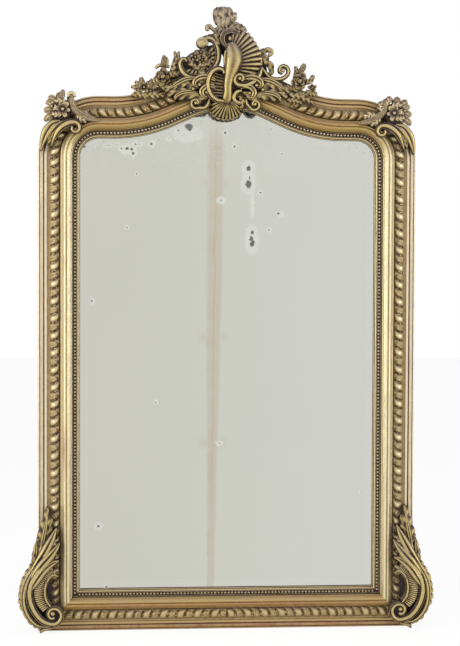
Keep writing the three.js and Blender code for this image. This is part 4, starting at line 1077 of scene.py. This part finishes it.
def crest_scrolls(look):
    left = Carving("carved_crest_scroll_left", CREST)
    left.scroll([(-70, 58, 8, 52), (-74, 72, 10, 52), (-60, 77, 9.5, 53), (-45, 70, 9, 54),
                 (-36, 50, 9, 55), (-33, 28, 9, 55), (-38, 6, 9, 55), (-54, -16, 9.5, 55),
                 (-79, -32, 10, 55), (-104, -37, 10, 56), (-128, -29, 10, 57), (-142, -9, 8.5, 57),
                 (-143, 8, 7, 56), (-132, 17, 6, 55), (-124, 9, 4, 52)], REEDED, depth=30)
    left.boss(-81, 62, 60, 17, tall=0.9)
    left.scroll(curl((-81, 62), 15, -30, 0.8, 5, 55, tighten=0.7), depth=20)
    # Cockled work inside the scroll: frills from its inner edge, and a leafy mass.
    left.ground([(-66, 50), (-48, 50), (-43, 28), (-48, 8), (-62, -10), (-84, -24), (-106, -28),
                 (-128, -18), (-132, -6), (-110, 0), (-104, 16), (-86, 26), (-72, 32)], 34, 30)
    left.flutes([(-64, 40, 42), (-58, 26, 42), (-62, 10, 42), (-76, -4, 42), (-96, -12, 42),
                 (-116, -10, 42)],
                [(-50, 56, 44), (-42, 30, 44), (-47, 6, 44), (-64, -13, 44), (-86, -26, 44),
                 (-112, -30, 44), (-130, -16, 44)], 11, amount=6, swell=2, depth=16, scallop=0.3)
    left.ground([(-112, 6), (-116, 20), (-110, 33), (-96, 41), (-80, 47), (-66, 50), (-56, 40),
                 (-60, 20), (-76, 2), (-96, -8)], 40, 22, ridge=0.2)
    left.leaves([
        [(-92, -10, 7, 46), (-106, 0, 10, 48), (-114, 14, 9, 46), (-116, 28, 2, 40)],
        [(-78, 4, 8, 48), (-86, 18, 10, 50), (-92, 30, 8, 48), (-98, 44, 2, 42)],
        [(-66, 10, 8, 50), (-72, 26, 9, 52), (-74, 40, 8, 50), (-70, 53, 2, 44)],
        [(-104, -14, 5, 44), (-88, -4, 8, 50), (-72, 6, 7, 50), (-58, 16, 2, 44)],
        [(-84, -16, 5, 46), (-72, -4, 7, 50), (-60, 8, 6, 50), (-52, 24, 2, 44)],
    ], lobes=3, depth=20)
    for x, z, radius, turn in ((-100, 22, 13, 0.3), (-84, 36, 11, 0.9), (-80, 14, 11, 0.1),
                               (-66, 30, 9, 0.5)):
        left.flower(x, z, radius, 56, turn=turn)
    left.scroll([(-30, 86, 6, 40), (-40, 99, 6, 42), (-52, 108, 5, 42)]
                + curl((-62, 107), 9, 20, 0.75, 5, 42, tighten=0.5), depth=18)
    left.boss(-64, 107, 45, 7)
    left.leaf([(-30, 70, 7, 42), (-42, 80, 7, 42), (-52, 86, 5, 40), (-63, 87, 1.5, 38)], lobes=3,
              depth=16)
    left.make(look, "frame", "gilt_carving", "crest_scroll_left")

    right = Carving("carved_crest_scroll_right", CREST)
    right.leaf([(84, 40, 7, 38), (98, 44, 9, 42), (112, 47, 7, 44), (122, 40, 3, 42)], lobes=2,
               depth=18)
    right.scroll([(108, 48, 4, 44), (120, 47, 4.5, 46), (123, 38, 4, 44), (114, 30, 3.5, 42)],
                 depth=16)
    right.boss(117, 35, 44, 6)
    right.leaf([(84, 24, 8, 38), (96, 30, 8, 42), (106, 26, 6, 42), (112, 18, 2, 38)], lobes=2)
    right.leaf([(90, 22, 8, 40), (106, 14, 10, 46), (118, 0, 10, 46), (120, -16, 7, 46),
                (108, -28, 3, 44)], lobes=3, depth=20)
    right.scroll([(92, -4, 5, 48), (100, -16, 6, 50), (112, -30, 6.5, 52), (128, -38, 7, 54),
                  (148, -37, 7, 55)] + curl((152, -13), 19, -60, 0.92, 6.5, 56, tighten=0.34), REEDED,
                 depth=26)
    right.boss(152, -13, 59, 6.5, tall=1.2)
    right.leaf([(96, -36, 8, 44), (112, -46, 10, 46), (132, -48, 8, 46), (148, -50, 2, 42)], lobes=4)
    right.make(look, "frame", "gilt_carving", "crest_scroll_right")


def crest_finial(look):
    finial = Carving("carved_crest_finial", CREST)
    finial.boss(-19, 146, 46, 22, ridge=0.5)
    finial.leaves([
        [(-32, 122, 9, 40), (-38, 138, 12, 46), (-36, 154, 12, 46), (-30, 165, 8, 40)],
        [(-6, 122, 9, 40), (-1, 138, 12, 46), (-3, 154, 12, 46), (-10, 165, 8, 40)],
        [(-20, 112, 9, 46), (-20, 132, 14, 52), (-20, 152, 15, 54), (-20, 168, 11, 46)],
    ], lobes=2, notch=0.16, slant=0.2, cup=0.6, vein=0.15, depth=30)
    finial.leaves([[(x * 0.8 - 4, 108, 5, 48), (x, 124, 7, 54), (x * 1.15 + 3, 138, 2, 52)]
                   for x in (-32, -20, -8)], lobes=0, cup=0.6, depth=24)
    finial.leaf([(-2, 120, 7, 40), (6, 134, 8, 42), (13, 146, 6, 42), (18, 153, 2, 38)], lobes=2,
                depth=18)
    finial.scroll([(6, 134, 5, 42), (13, 144, 5, 43), (17, 137, 4, 40), (12, 130, 3, 38)], depth=14)
    finial.leaf([(-40, 104, 8, 40), (-24, 110, 10, 46), (-6, 122, 9, 46), (-14, 138, 2, 46)],
                lobes=3, depth=20)
    finial.leaves([
        [(-44, 92, 7, 38), (-26, 104, 9, 44), (-4, 114, 10, 46), (16, 118, 8, 44), (30, 112, 2, 38)],
        [(-10, 100, 8, 44), (10, 108, 9, 46), (32, 112, 8, 44), (48, 100, 2, 40)],
    ], lobes=4, depth=22)
    finial.make(look, "frame", "gilt_carving", "crest_finial")


def crest_leaves(look):
    for side, name, middle, eye in ((-1, "left", -8.0, (90, -109)), (1, "right", -4.0, (76, -111))):
        leaves = Carving(f"carved_crest_leaves_{name}", (middle, PEAK), side)
        for lobes, path in (
            (3, [(36, -58, 10, 56), (56, -52, 14, 59), (80, -52, 14, 59), (102, -62, 10, 57),
                 (116, -74, 3, 52)]),
            (2, [(40, -78, 8, 54), (58, -84, 12, 57), (76, -94, 11, 57), (84, -106, 7, 54),
                 (86, -114, 2, 50)]),
            (3, [(50, -92, 8, 54), (74, -92, 12, 58), (98, -86, 12, 58), (120, -88, 9, 56),
                 (138, -96, 2, 50)]),
            (4, [(84, -60, 8, 54), (108, -54, 12, 58), (134, -56, 12, 58), (158, -64, 8, 55),
                 (178, -74, 2, 48)]),
            (3, [(90, -76, 8, 52), (118, -74, 11, 56), (146, -78, 10, 54), (172, -86, 3, 48)]),
            (2, [(44, -44, 6, 56), (54, -32, 10, 58), (70, -28, 9, 58), (84, -34, 2, 52)]),
            (2, [(108, -92, 6, 50), (130, -88, 8, 52), (154, -92, 2, 46)]),
        ):
            leaves.leaf(path, lobes=lobes, depth=28, notch=0.5, slant=0.8)
        leaves.scrolls([
            [(34, -44, 4, 60), (52, -36, 8, 64), (74, -36, 9, 66), (92, -46, 8, 65),
             (94, -58, 6, 63), (84, -62, 4, 60)],
            [(34, -66, 4, 60), (48, -60, 7, 64), (64, -64, 8, 66), (74, -78, 8, 65),
             (68, -90, 6, 63), (59, -88, 4, 60)],
            [(84, -40, 3, 58), (106, -40, 6, 62), (128, -46, 7, 63), (148, -58, 6, 61),
             (166, -68, 2, 54)],
            [(82, -84, 3, 56), (104, -78, 6, 60), (126, -80, 6, 60), (146, -90, 5, 57),
             (150, -100, 2, 52)],
        ], FROND, depth=30, relief=0.8)
        for x, z, radius in ((80, -58, 5), (98, -70, 5), (60, -80, 4.5)):
            leaves.boss(x, z, 66, radius, tall=0.9)
        leaves.scroll([(50, -96, 6, 52), (54, -110, 7, 53), (64, -122, 7, 54)]
                      + curl(eye, 17, -125, 0.95, 7, 54, tighten=0.34), REEDED, depth=26)
        leaves.boss(*eye, 58, 6, tall=1.2)
        # A dark ground behind the leaves, painted as shade.
        leaves.ground([(44, -52), (84, -42), (130, -50), (164, -66), (160, -86), (120, -96),
                       (104, -110), (84, -115), (62, -111), (44, -98)], 38, 30, ridge=0.05)
        if name == "right":
            leaves.leaf([(176, -82, 9, 48), (200, -84, 9, 50), (226, -94, 7, 48), (252, -108, 2, 42)],
                        lobes=5, depth=22)
            leaves.leaf([(170, -96, 6, 44), (192, -96, 8, 46), (214, -104, 2, 42)], lobes=4)
        leaves.make(look, "frame", "gilt_carving", f"crest_leaves_{name}")


# ------------------------------------------------------------------ roses and flowers
def edge_point(x):
    """The outer edge of the frame above a place across."""
    outer = line_at(member("top", 3.0), MOULDING_WIDTH)
    order = np.argsort(outer[:, 0])
    return (x, float(np.interp(x, outer[order, 0], outer[order, 1])))


def rose_sprays(look):
    left = Carving("carved_rose_spray_left", edge_point(-193))
    left.rose(0, 16, 27, 62, turn=0.4)
    left.leaf([(3, 38, 5, 44), (1, 50, 7, 50), (3, 64, 7, 50), (5, 80, 2, 44)], lobes=0, grooves=2)
    left.leaf([(6, 40, 4, 42), (10, 52, 6, 46), (12, 64, 5, 46), (10, 76, 1.5, 42)], lobes=0)
    left.scroll([(-20, 44, 4, 42), (-10, 51, 5, 45), (6, 52, 5, 46), (20, 48, 4, 42)], depth=16)
    left.leaf([(18, 22, 7, 46), (30, 38, 9, 50), (34, 56, 8, 50), (44, 72, 6, 48), (47, 92, 2, 42)],
              lobes=5, depth=20)
    for lobes, path in (
        (3, [(26, 40, 6, 44), (36, 62, 8, 46), (38, 78, 6, 44), (34, 92, 2, 40)]),
        (4, [(20, 18, 6, 48), (36, 26, 9, 50), (52, 30, 8, 48), (62, 42, 2, 44)]),
        (5, [(-8, -10, 8, 46), (14, -12, 10, 50), (36, -8, 9, 50), (58, -10, 2, 46)]),
        (3, [(-20, -6, 7, 44), (-34, -8, 8, 46), (-48, -2, 2, 42)]),
    ):
        left.leaf(path, lobes=lobes)
    left.make(look, "frame", "gilt_carving", "rose_spray_left")

    right = Carving("carved_rose_spray_right", edge_point(201))
    right.rose(0, 12, 26.5, 62, turn=1.1)
    right.flower(38, -4, 14, 50, turn=0.4)
    right.leaf([(-2, 34, 7, 44), (6, 46, 9, 48), (12, 56, 7, 46), (16, 66, 2, 40)], lobes=0, grooves=2)
    for lobes, path in (
        (2, [(-12, 32, 6, 44), (-8, 46, 7, 46), (-12, 58, 2, 40)]),
        (2, [(18, 10, 7, 46), (30, 14, 8, 48), (38, 24, 7, 46), (40, 34, 2, 40)]),
        (4, [(20, -12, 7, 44), (36, -20, 9, 46), (54, -20, 2, 40)]),
        (4, [(-18, -8, 8, 46), (-34, -4, 9, 48), (-52, -2, 2, 44)]),
        (4, [(-10, -16, 8, 46), (8, -22, 9, 48), (26, -24, 2, 42)]),
    ):
        right.leaf(path, lobes=lobes)
    right.make(look, "frame", "gilt_carving", "rose_spray_right")


def flower_cluster(look):
    cluster = Carving("carved_flower_cluster_left", edge_point(-246))
    for x, z, radius, rise, turn in ((0, 8, 16, 54, 0.3), (-20, 8, 12, 48, 1.0), (19, -2, 13, 50, 0.8)):
        cluster.flower(x, z, radius, rise, turn=turn)
    for way, reach in ((0.35, 34), (1.0, 30), (1.7, 30), (2.4, 36), (3.0, 38), (3.7, 34), (5.6, 30)):
        dx, dz = math.cos(way), math.sin(way)
        cluster.leaf([(dx * 8, 6 + dz * 6, 5, 44), (dx * reach * 0.6, 6 + dz * reach * 0.5, 7, 48),
                      (dx * reach, 6 + dz * reach * 0.8, 2, 42)], lobes=2, depth=18)
    cluster.leaves([
        [(-36, -14, 7, 44), (-18, -12, 9, 48), (2, -16, 9, 48), (22, -20, 2, 42)],
        [(-2, -12, 7, 46), (18, -14, 10, 50), (38, -12, 9, 48), (56, -14, 2, 42)],
        [(-4, 16, 6, 46), (-8, 26, 8, 48), (-6, 38, 2, 42)],
        [(12, 12, 6, 46), (20, 22, 8, 48), (24, 34, 2, 42)],
        [(24, 6, 6, 46), (36, 14, 9, 50), (42, 28, 2, 42)],
    ], lobes=4, depth=20)
    cluster.make(look, "frame", "gilt_carving", "flower_cluster_left")


# ------------------------------------------------------------------ shoulders and feet
# Both sides share one drawing, mirrored about the frame: across from these, and up.
SIDES = ((1, "left"), (-1, "right"))
CORNER, SHOULDER_HEIGHT = -550.0, 1551.0


def shoulder_scrolls(look):
    for side, name in SIDES:
        scroll = Carving(f"carved_shoulder_scroll_{name}", (side * CORNER, SHOULDER_HEIGHT), side)
        scroll.scroll([(40, -146, 2, 38), (47, -128, 6, 46), (59, -106, 10, 54), (76, -90, 12, 58),
                       (96, -82, 12, 60)] + curl((107, -98), 16, 80, -0.8, 9, 58, tighten=0.4),
                      REEDED, depth=30)
        scroll.boss(109, -100, 56, 4)
        scroll.scroll([(30, -142, 2, 36), (36, -124, 6, 44), (48, -104, 9, 50), (64, -88, 9, 52),
                       (82, -78, 5, 50)], FROND, depth=26)
        scroll.leaf([(62, -104, 7, 44), (50, -106, 9, 46), (40, -120, 9, 44), (34, -140, 3, 38)],
                    lobes=4, depth=20)
        scroll.scroll([(66, -78, 6, 46), (44, -86, 12, 50), (28, -106, 14, 50), (17, -130, 10, 44),
                       (9, -160, 2, 34)], FROND, depth=26, relief=0.6)
        scroll.scroll([(56, -84, 10, 26), (34, -104, 14, 28), (22, -136, 8, 26)], relief=0.2)
        scroll.make(look, "frame", "gilt_carving", f"shoulder_scroll_{name}")


def shoulder_sprays(look):
    for side, name in SIDES:
        spray = Carving(f"carved_shoulder_spray_{name}", (side * CORNER, SHOULDER_HEIGHT), side)
        spray.flower(73, -44, 24, 60, turn=0.9, petals=6)
        spray.flower(52, -34, 15, 55, turn=0.2, petals=6)
        spray.ground([(48, -66), (38, -44), (44, -22), (62, -12), (84, -18), (96, -38), (92, -64),
                      (72, -74)], 34, 30, ridge=0.42)
        spray.leaf([(68, -24, 6, 46), (70, -8, 9, 50), (74, 13 if side > 0 else -4, 2, 42)], lobes=0,
                   grooves=2, depth=20)
        spray.leaves([
            [(62, -24, 6, 44), (60, -8, 8, 47), (66, 4, 2, 40)],
            [(56, -26, 6, 44), (44, -14, 10, 48), (31, -10, 2, 38)],
            [(50, -36, 6, 42), (38, -28, 9, 47), (25, -22, 2, 40)],
            [(50, -44, 6, 42), (34, -44, 10, 46), (19, -48, 2, 36)],
            [(50, -54, 6, 42), (34, -64, 10, 46), (20, -76, 2, 36)],
            [(84, -26, 6, 46), (92, -16, 8, 48), (90, -4, 2, 40)],
        ], lobes=0, grooves=1, depth=18)
        spray.leaf([(96, 0, 4, 46), (98, -12, 8, 52), (100, -28, 9, 55), (110, -46, 9, 55),
                    (130, -60, 10, 53), (154, -69, 7, 48), (176, -74, 2, 43)], lobes=0, grooves=2,
                   cup=0.45, depth=26)
        spray.leaf([(112, -54, 6, 50), (126, -72, 9, 52), (140, -78, 2, 46)], lobes=3, depth=18)
        lobed = [
            [(82, -30, 6, 56), (72, -22, 9, 60), (58, -20, 7, 58), (48, -24, 2, 50)],
            [(70, -60, 6, 56), (56, -60, 9, 58), (42, -54, 2, 50)],
        ]
        if name == "left":
            spray.scroll([(88, -8, 4, 48), (92, 2, 5.5, 50), (102, 2, 5, 50), (107, -7, 4, 48)],
                         depth=20)
        else:
            lobed += [
                [(96, -22, 7, 54), (88, -6, 10, 56), (80, 2, 2, 48)],
                [(112, -40, 8, 56), (114, -24, 10, 58), (106, -10, 2, 50)],
                [(128, -52, 8, 54), (144, -50, 10, 56), (160, -58, 2, 48)],
            ]
        spray.leaves(lobed, lobes=3, depth=22)
        spray.make(look, "frame", "gilt_carving", f"shoulder_spray_{name}")


def foot_scrolls(look):
    for side, name in SIDES:
        foot = Carving(f"carved_foot_scroll_{name}", (side * CORNER, 0.0), side)
        foot.scroll([(44, 40, 14, 26), (14, 34, 20, 28), (-14, 66, 20, 28), (-24, 112, 19, 28),
                     (-14, 158, 18, 28), (6, 200, 18, 28), (18, 236, 12, 26)], relief=0.2, depth=34)
        foot.boss(45, 62, 66, 8, tall=1.2)
        # The big scroll, and the frilled outer edge in three strands that part as they rise.
        foot.scrolls([
            [(56, 231, 3, 48), (36, 218, 7, 56), (12, 196, 10, 62), (-8, 168, 11, 65),
             (-19, 142, 11.5, 66), (-22, 114, 11.5, 66), (-15, 84, 11, 66),
             (-1, 58, 10.5, 65), (17, 40, 10, 64), (38, 32, 9.5, 63)]
            + curl((46, 58), 27, -78, 1.05, 9, 62, tighten=0.28, steps=12),
            [(30, 20, 4, 48), (4, 26, 6, 54), (-14, 40, 7, 58), (-29, 64, 7.5, 60),
             (-36, 92, 7.5, 60), (-36, 120, 7.5, 60), (-29, 148, 7, 60), (-15, 176, 6.5, 58),
             (0, 206, 5, 54), (6, 226, 3, 48)],
        ], REEDED, depth=32)
        foot.ruffle([(8, 20, 42), (-14, 34, 46), (-31, 57, 48), (-43, 86, 50), (-46, 114, 50),
                     (-42, 142, 50), (-29, 172, 48), (-12, 204, 46), (-4, 232, 44), (-2, 256, 40)],
                    13, 9.5, depth=26, lean=0.45)
        foot.scroll([(8, 16, 5, 44), (-12, 32, 6, 50), (-30, 54, 6.5, 52), (-41, 84, 6.5, 53),
                     (-44, 114, 6.5, 53), (-40, 142, 6.5, 53), (-27, 170, 6.5, 52),
                     (-9, 202, 6, 50), (-2, 232, 4, 46), (-3, 262, 1.5, 38)], depth=28)
        foot.scrolls([
            [(-22, 172, 5, 52), (0, 204, 11, 58), (18, 232, 14, 60), (32, 258, 13, 58),
             (44, 282, 9, 53), (54, 306, 2, 44)],
            [(-22, 150, 5, 58), (-4, 178, 11, 64), (16, 204, 14, 66), (36, 226, 13, 62),
             (52, 246, 8, 56), (64, 264, 2, 48)],
            [(-20, 128, 5, 60), (-4, 154, 11, 66), (14, 180, 12, 66), (32, 198, 10, 62),
             (48, 208, 7, 56), (62, 212, 2, 48)],
            [(-12, 210, 5, 44), (-5, 236, 7, 48), (-4, 256, 5, 45), (-2, 270, 1.5, 38)],
            [(4, 222, 6, 46), (13, 246, 8, 50), (19, 270, 6, 47), (22, 292, 1.5, 40)],
        ], FROND, depth=32, relief=0.75)
        foot.leaves([
            [(14, 206, 5, 56), (30, 212, 9, 60), (44, 226, 7, 56), (52, 236, 2, 48)],
            [(6, 176, 5, 58), (20, 184, 9, 62), (36, 192, 7, 58), (46, 190, 2, 50)],
            [(30, 250, 4, 52), (42, 256, 7, 54), (52, 268, 5, 50), (58, 276, 2, 44)],
            [(-2, 200, 4, 54), (-10, 222, 6, 54), (-12, 238, 2, 46)],
        ], lobes=3, depth=26)
        # The inner band is hatched rocaille; the slot beside it is painted dark as shade.
        foot.flutes([(56, 164, 48), (44, 164, 52), (32, 148, 54), (27, 126, 54), (30, 102, 54),
                     (40, 86, 52)],
                    [(46, 186, 48), (24, 188, 52), (2, 160, 55), (-8, 128, 56), (-2, 92, 56),
                     (18, 66, 56)], 24, amount=2.6, swell=2, depth=30, scallop=0.02, dark=0.42)
        foot.ground([(4, 66), (30, 74), (42, 92), (45, 120), (40, 152), (24, 180), (2, 170),
                     (-6, 120)], 22, 24, ridge=0.0)
        for z in (88, 104, 120, 136, 152):
            foot.boss(15 + 0.010 * (z - 120) ** 2, z, 61, 3.4, tall=0.8, ridge=0.8)
        foot.boss(46, 58, 54, 25, tall=0.45, ridge=0.3)
        foot.scroll([(60, 168, 3, 50), (44, 172, 4.5, 54), (28, 154, 5, 59), (22, 127, 5, 60),
                     (26, 99, 5, 60), (38, 82, 4, 58)], REEDED, depth=22)
        foot.scrolls([[(10, 204, 2, 51), (20, 218, 4.5, 51), (31, 236, 3, 51), (38, 250, 1.5, 48)],
                      [(16, 182, 2, 54), (26, 194, 4.5, 54), (38, 206, 3, 53), (48, 216, 1.5, 50)]],
                     depth=26, relief=0.3, worn=0.02)
        foot.leaf([(40, 166, 5, 50), (50, 178, 7, 52), (58, 190, 2, 46)], lobes=2)
        foot.leaves([[(36 - k * 7, 22 + k * 9, 4, 52), (26 - k * 8, 28 + k * 9, 5, 54),
                      (16 - k * 8, 40 + k * 9, 1.5, 48)] for k in range(5)], lobes=0, depth=22)
        foot.scroll([(8, 2, 3, 40), (16, 10, 5, 44), (28, 14, 5, 46), (42, 16, 3, 44)], depth=20)
        foot.make(look, "frame", "gilt_carving", f"foot_scroll_{name}")


def foot_leaves(look):
    for side, name in SIDES:
        tall = Carving(f"carved_foot_leaf_{name}", (side * CORNER, 0.0), side)
        tall.leaf([(12, 244, 11, 40), (14, 272, 16, 47), (20, 304, 16, 48), (27, 334, 10, 45),
                   (27, 364, 2, 37)], lobes=4, notch=0.3, slant=0.5, cup=0.35, depth=26)
        tall.scroll([(10, 236, 5, 46), (16, 270, 6, 52), (23, 306, 5, 52), (28, 340, 2, 44)], FROND,
                    depth=22)
        tall.leaf([(18, 262, 7, 44), (30, 290, 9, 46), (37, 314, 7, 44), (40, 336, 2, 38)], lobes=3,
                  depth=22)
        tall.leaf([(8, 250, 6, 40), (4, 276, 7, 42), (6, 300, 2, 36)], lobes=3, depth=20)
        tall.make(look, "frame", "gilt_carving", f"foot_leaf_{name}")


# ------------------------------------------------------------------ the plate
# The face of the plate: [offset from the sight line, how far behind its front].
PLATE_FACE = [(10.0, 2.7), (0.0, 1.97), (-14.0, 0.95), (-26.4, 0.05), (-27.2, 0.0), (-31.0, 0.0)]


def looking_glass(look):
    """The bevelled plate: rings inwards from its edge, and one flat field."""
    stations = np.vstack([member("bottom", 12.0)[:-1], member("left", 12.0)[:-1],
                          member("top", 6.0), member("right", 12.0)[1:-1]])
    low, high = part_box("mirror_plate")
    front = (BACK - low.y) / MM
    section = [(PLATE_FACE[0][0], (BACK - high.y) / MM)]
    section += [(offset, front - behind) for offset, behind in PLATE_FACE]
    rings = [np.column_stack([line_at(stations, offset), np.full(len(stations), height)])
             for offset, height in section]
    piece = Piece("looking_glass_plate")
    piece.tube(rings, 1.0, rim=np.array([[offset] for offset, _ in section]))
    piece.make(look, "frame", "silvered_glass", "mirror_plate", crease=2.0)


# ------------------------------------------------------------------ the studio
FLOOR_REACH = 14.0


def seen_rays(look):
    """Rays from the camera, and rays that come off a mirror or through clear glass."""
    rays = look.node("ShaderNodeLightPath")
    return rays, rays.out("Is Glossy Ray").most(rays.out("Is Transmission Ray"))


def studio():
    """A pale floor that looks white to the camera, a pale sky and three softboxes."""
    stone = Look(bpy.data.materials.new("pale_floor"))
    straight_rays, bounced_rays = seen_rays(stone)
    lit = stone.node("ShaderNodeBsdfDiffuse", {}, {"Color": srgb(240, 240, 240)})
    white = stone.node("ShaderNodeEmission", {}, {
        "Color": (1, 1, 1, 1), "Strength": straight_rays * 0.07 + 1.0})
    both = stone.node("ShaderNodeMixShader", {},
                      [(straight_rays * 0.85).most(bounced_rays), lit, white])
    stone.node("ShaderNodeOutputMaterial", {}, [both], out=None)
    mesh = bpy.data.meshes.new("floor")
    corners = ((-1, -1), (1, -1), (1, 1), (-1, 1))
    mesh.from_pydata([(x * FLOOR_REACH, y * FLOOR_REACH, 0) for x, y in corners], [], [(0, 1, 2, 3)])
    mesh.materials.append(stone.owner)
    floor = bpy.data.objects.new("floor", mesh)
    bpy.context.scene.collection.objects.link(floor)

    world = bpy.data.worlds.new("studio")
    air = Look(world)
    straight_rays, bounced_rays = seen_rays(air)
    glow = air.node("ShaderNodeBackground", {}, {
        "Color": (1, 1, 1, 1), "Strength": straight_rays.most(bounced_rays) * 0.62 + 0.38})
    air.node("ShaderNodeOutputWorld", {}, [glow], out=None)
    bpy.context.scene.world = world
    add_softbox("left_softbox", (-3.4, -1.9, 1.5), (0, 0, 0.9), 1.4, 2.6, 62, (1.0, 0.98, 0.95))
    add_softbox("right_softbox", (3.6, -2.0, 1.4), (0, 0, 0.9), 1.4, 2.6, 52, (0.97, 0.98, 1.0))
    add_softbox("top_softbox", (-0.4, -2.4, 4.4), (0, 0, 1.0), 2.4, 1.2, 26, (1.0, 0.99, 0.98))


# ------------------------------------------------------------------ making it
add_camera()
studio()
bpy.context.scene.view_settings.view_transform = "Standard"

gilt = gilding("gilt_band", (226, 210, 166), (178, 152, 104), (122, 98, 74), 0.4, 0.5, 0.4, 0.35,
               deep=0.28)
gilt_bright = gilding("gilt_face", (232, 219, 180), (190, 165, 110), (126, 100, 68), 0.5, 0.4,
                      0.24, 1.0, streaked=True)
gilt_beads = gilding("gilt_beads", (228, 218, 196), (158, 134, 98), (104, 82, 60), 0.2, 0.3, 0.2,
                     0.4)
gilt_worn = gilding("gilt_edge", (232, 219, 190), (176, 150, 114), (104, 82, 64), 0.8, 0.5, 0.4,
                    0.9, streaked=True)
gilt_carving = gilding("gilt_carving", (200, 178, 116), (118, 95, 51), (66, 51, 38), 0.3, 0.75,
                       0.7, 0.0, deep=0.62, rough_leaf=0.34, darkest=(48, 36, 33))
gilt_dusty = gilding("gilt_dusty", (220, 200, 156), (160, 138, 98), (110, 91, 70), 0.3, 0.7,
                     0.7, 0.0, deep=0.52, rough_leaf=0.30, darkest=(76, 62, 56))

plain_band("sight_slip", ["bottom", "left", "right", "top"], SLIP_FACE, CHASSIS, gilt, "gilt",
           spacing=0.6)
plain_band("face_moulding", MEMBERS, MAIN_FACE, GLUE_LINE, gilt_bright, "gilt_bright", rub=face_rub)
plain_band("edge_moulding", MEMBERS, EDGE_FACE, GLUE_LINE, gilt_worn, "gilt_worn", rub=edge_rub)
for member_name in MEMBERS:
    bead_string(member_name, gilt_beads)
    gadroon_band(member_name, gilt)
crest_cartouche(gilt_carving)
crest_scrolls(gilt_carving)
crest_finial(gilt_dusty)
crest_leaves(gilt_carving)
rose_sprays(gilt_carving)
flower_cluster(gilt_carving)
shoulder_scrolls(gilt_carving)
shoulder_sprays(gilt_dusty)
foot_scrolls(gilt_carving)
foot_leaves(gilt_carving)
looking_glass(old_plate("old_plate"))

pine_up = timber("pine_upright", (150, 114, 76), (200, 164, 120), "Z", shaded_front=True)
pine_across = timber("pine_across", (146, 110, 74), (196, 160, 116), "X", shaded_front=True)
board_up = timber("backboard_upright", (128, 98, 68), (176, 142, 104), "Z", stain=0.6)
brass = aged_metal("old_brass", (196, 160, 92), (92, 70, 42), 0.32)
steel = aged_metal("screw_steel", (150, 146, 138), (78, 62, 52), 0.42)
# What shows its own solid gets the first finish that its name calls for.
finishes = [
    (("chassis_left", "chassis_right"), pine_up), (("chassis", "batten", "crest_board"), pine_across),
    (("backboard",), board_up), (("hanger_strap", "hanger_ring"), brass), (("hanger_screw",), steel),
]
for node_name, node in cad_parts.items():
    for starts, finish in finishes:
        if node_name.startswith(starts):
            node.data.materials.clear()
            node.data.materials.append(finish)
            break
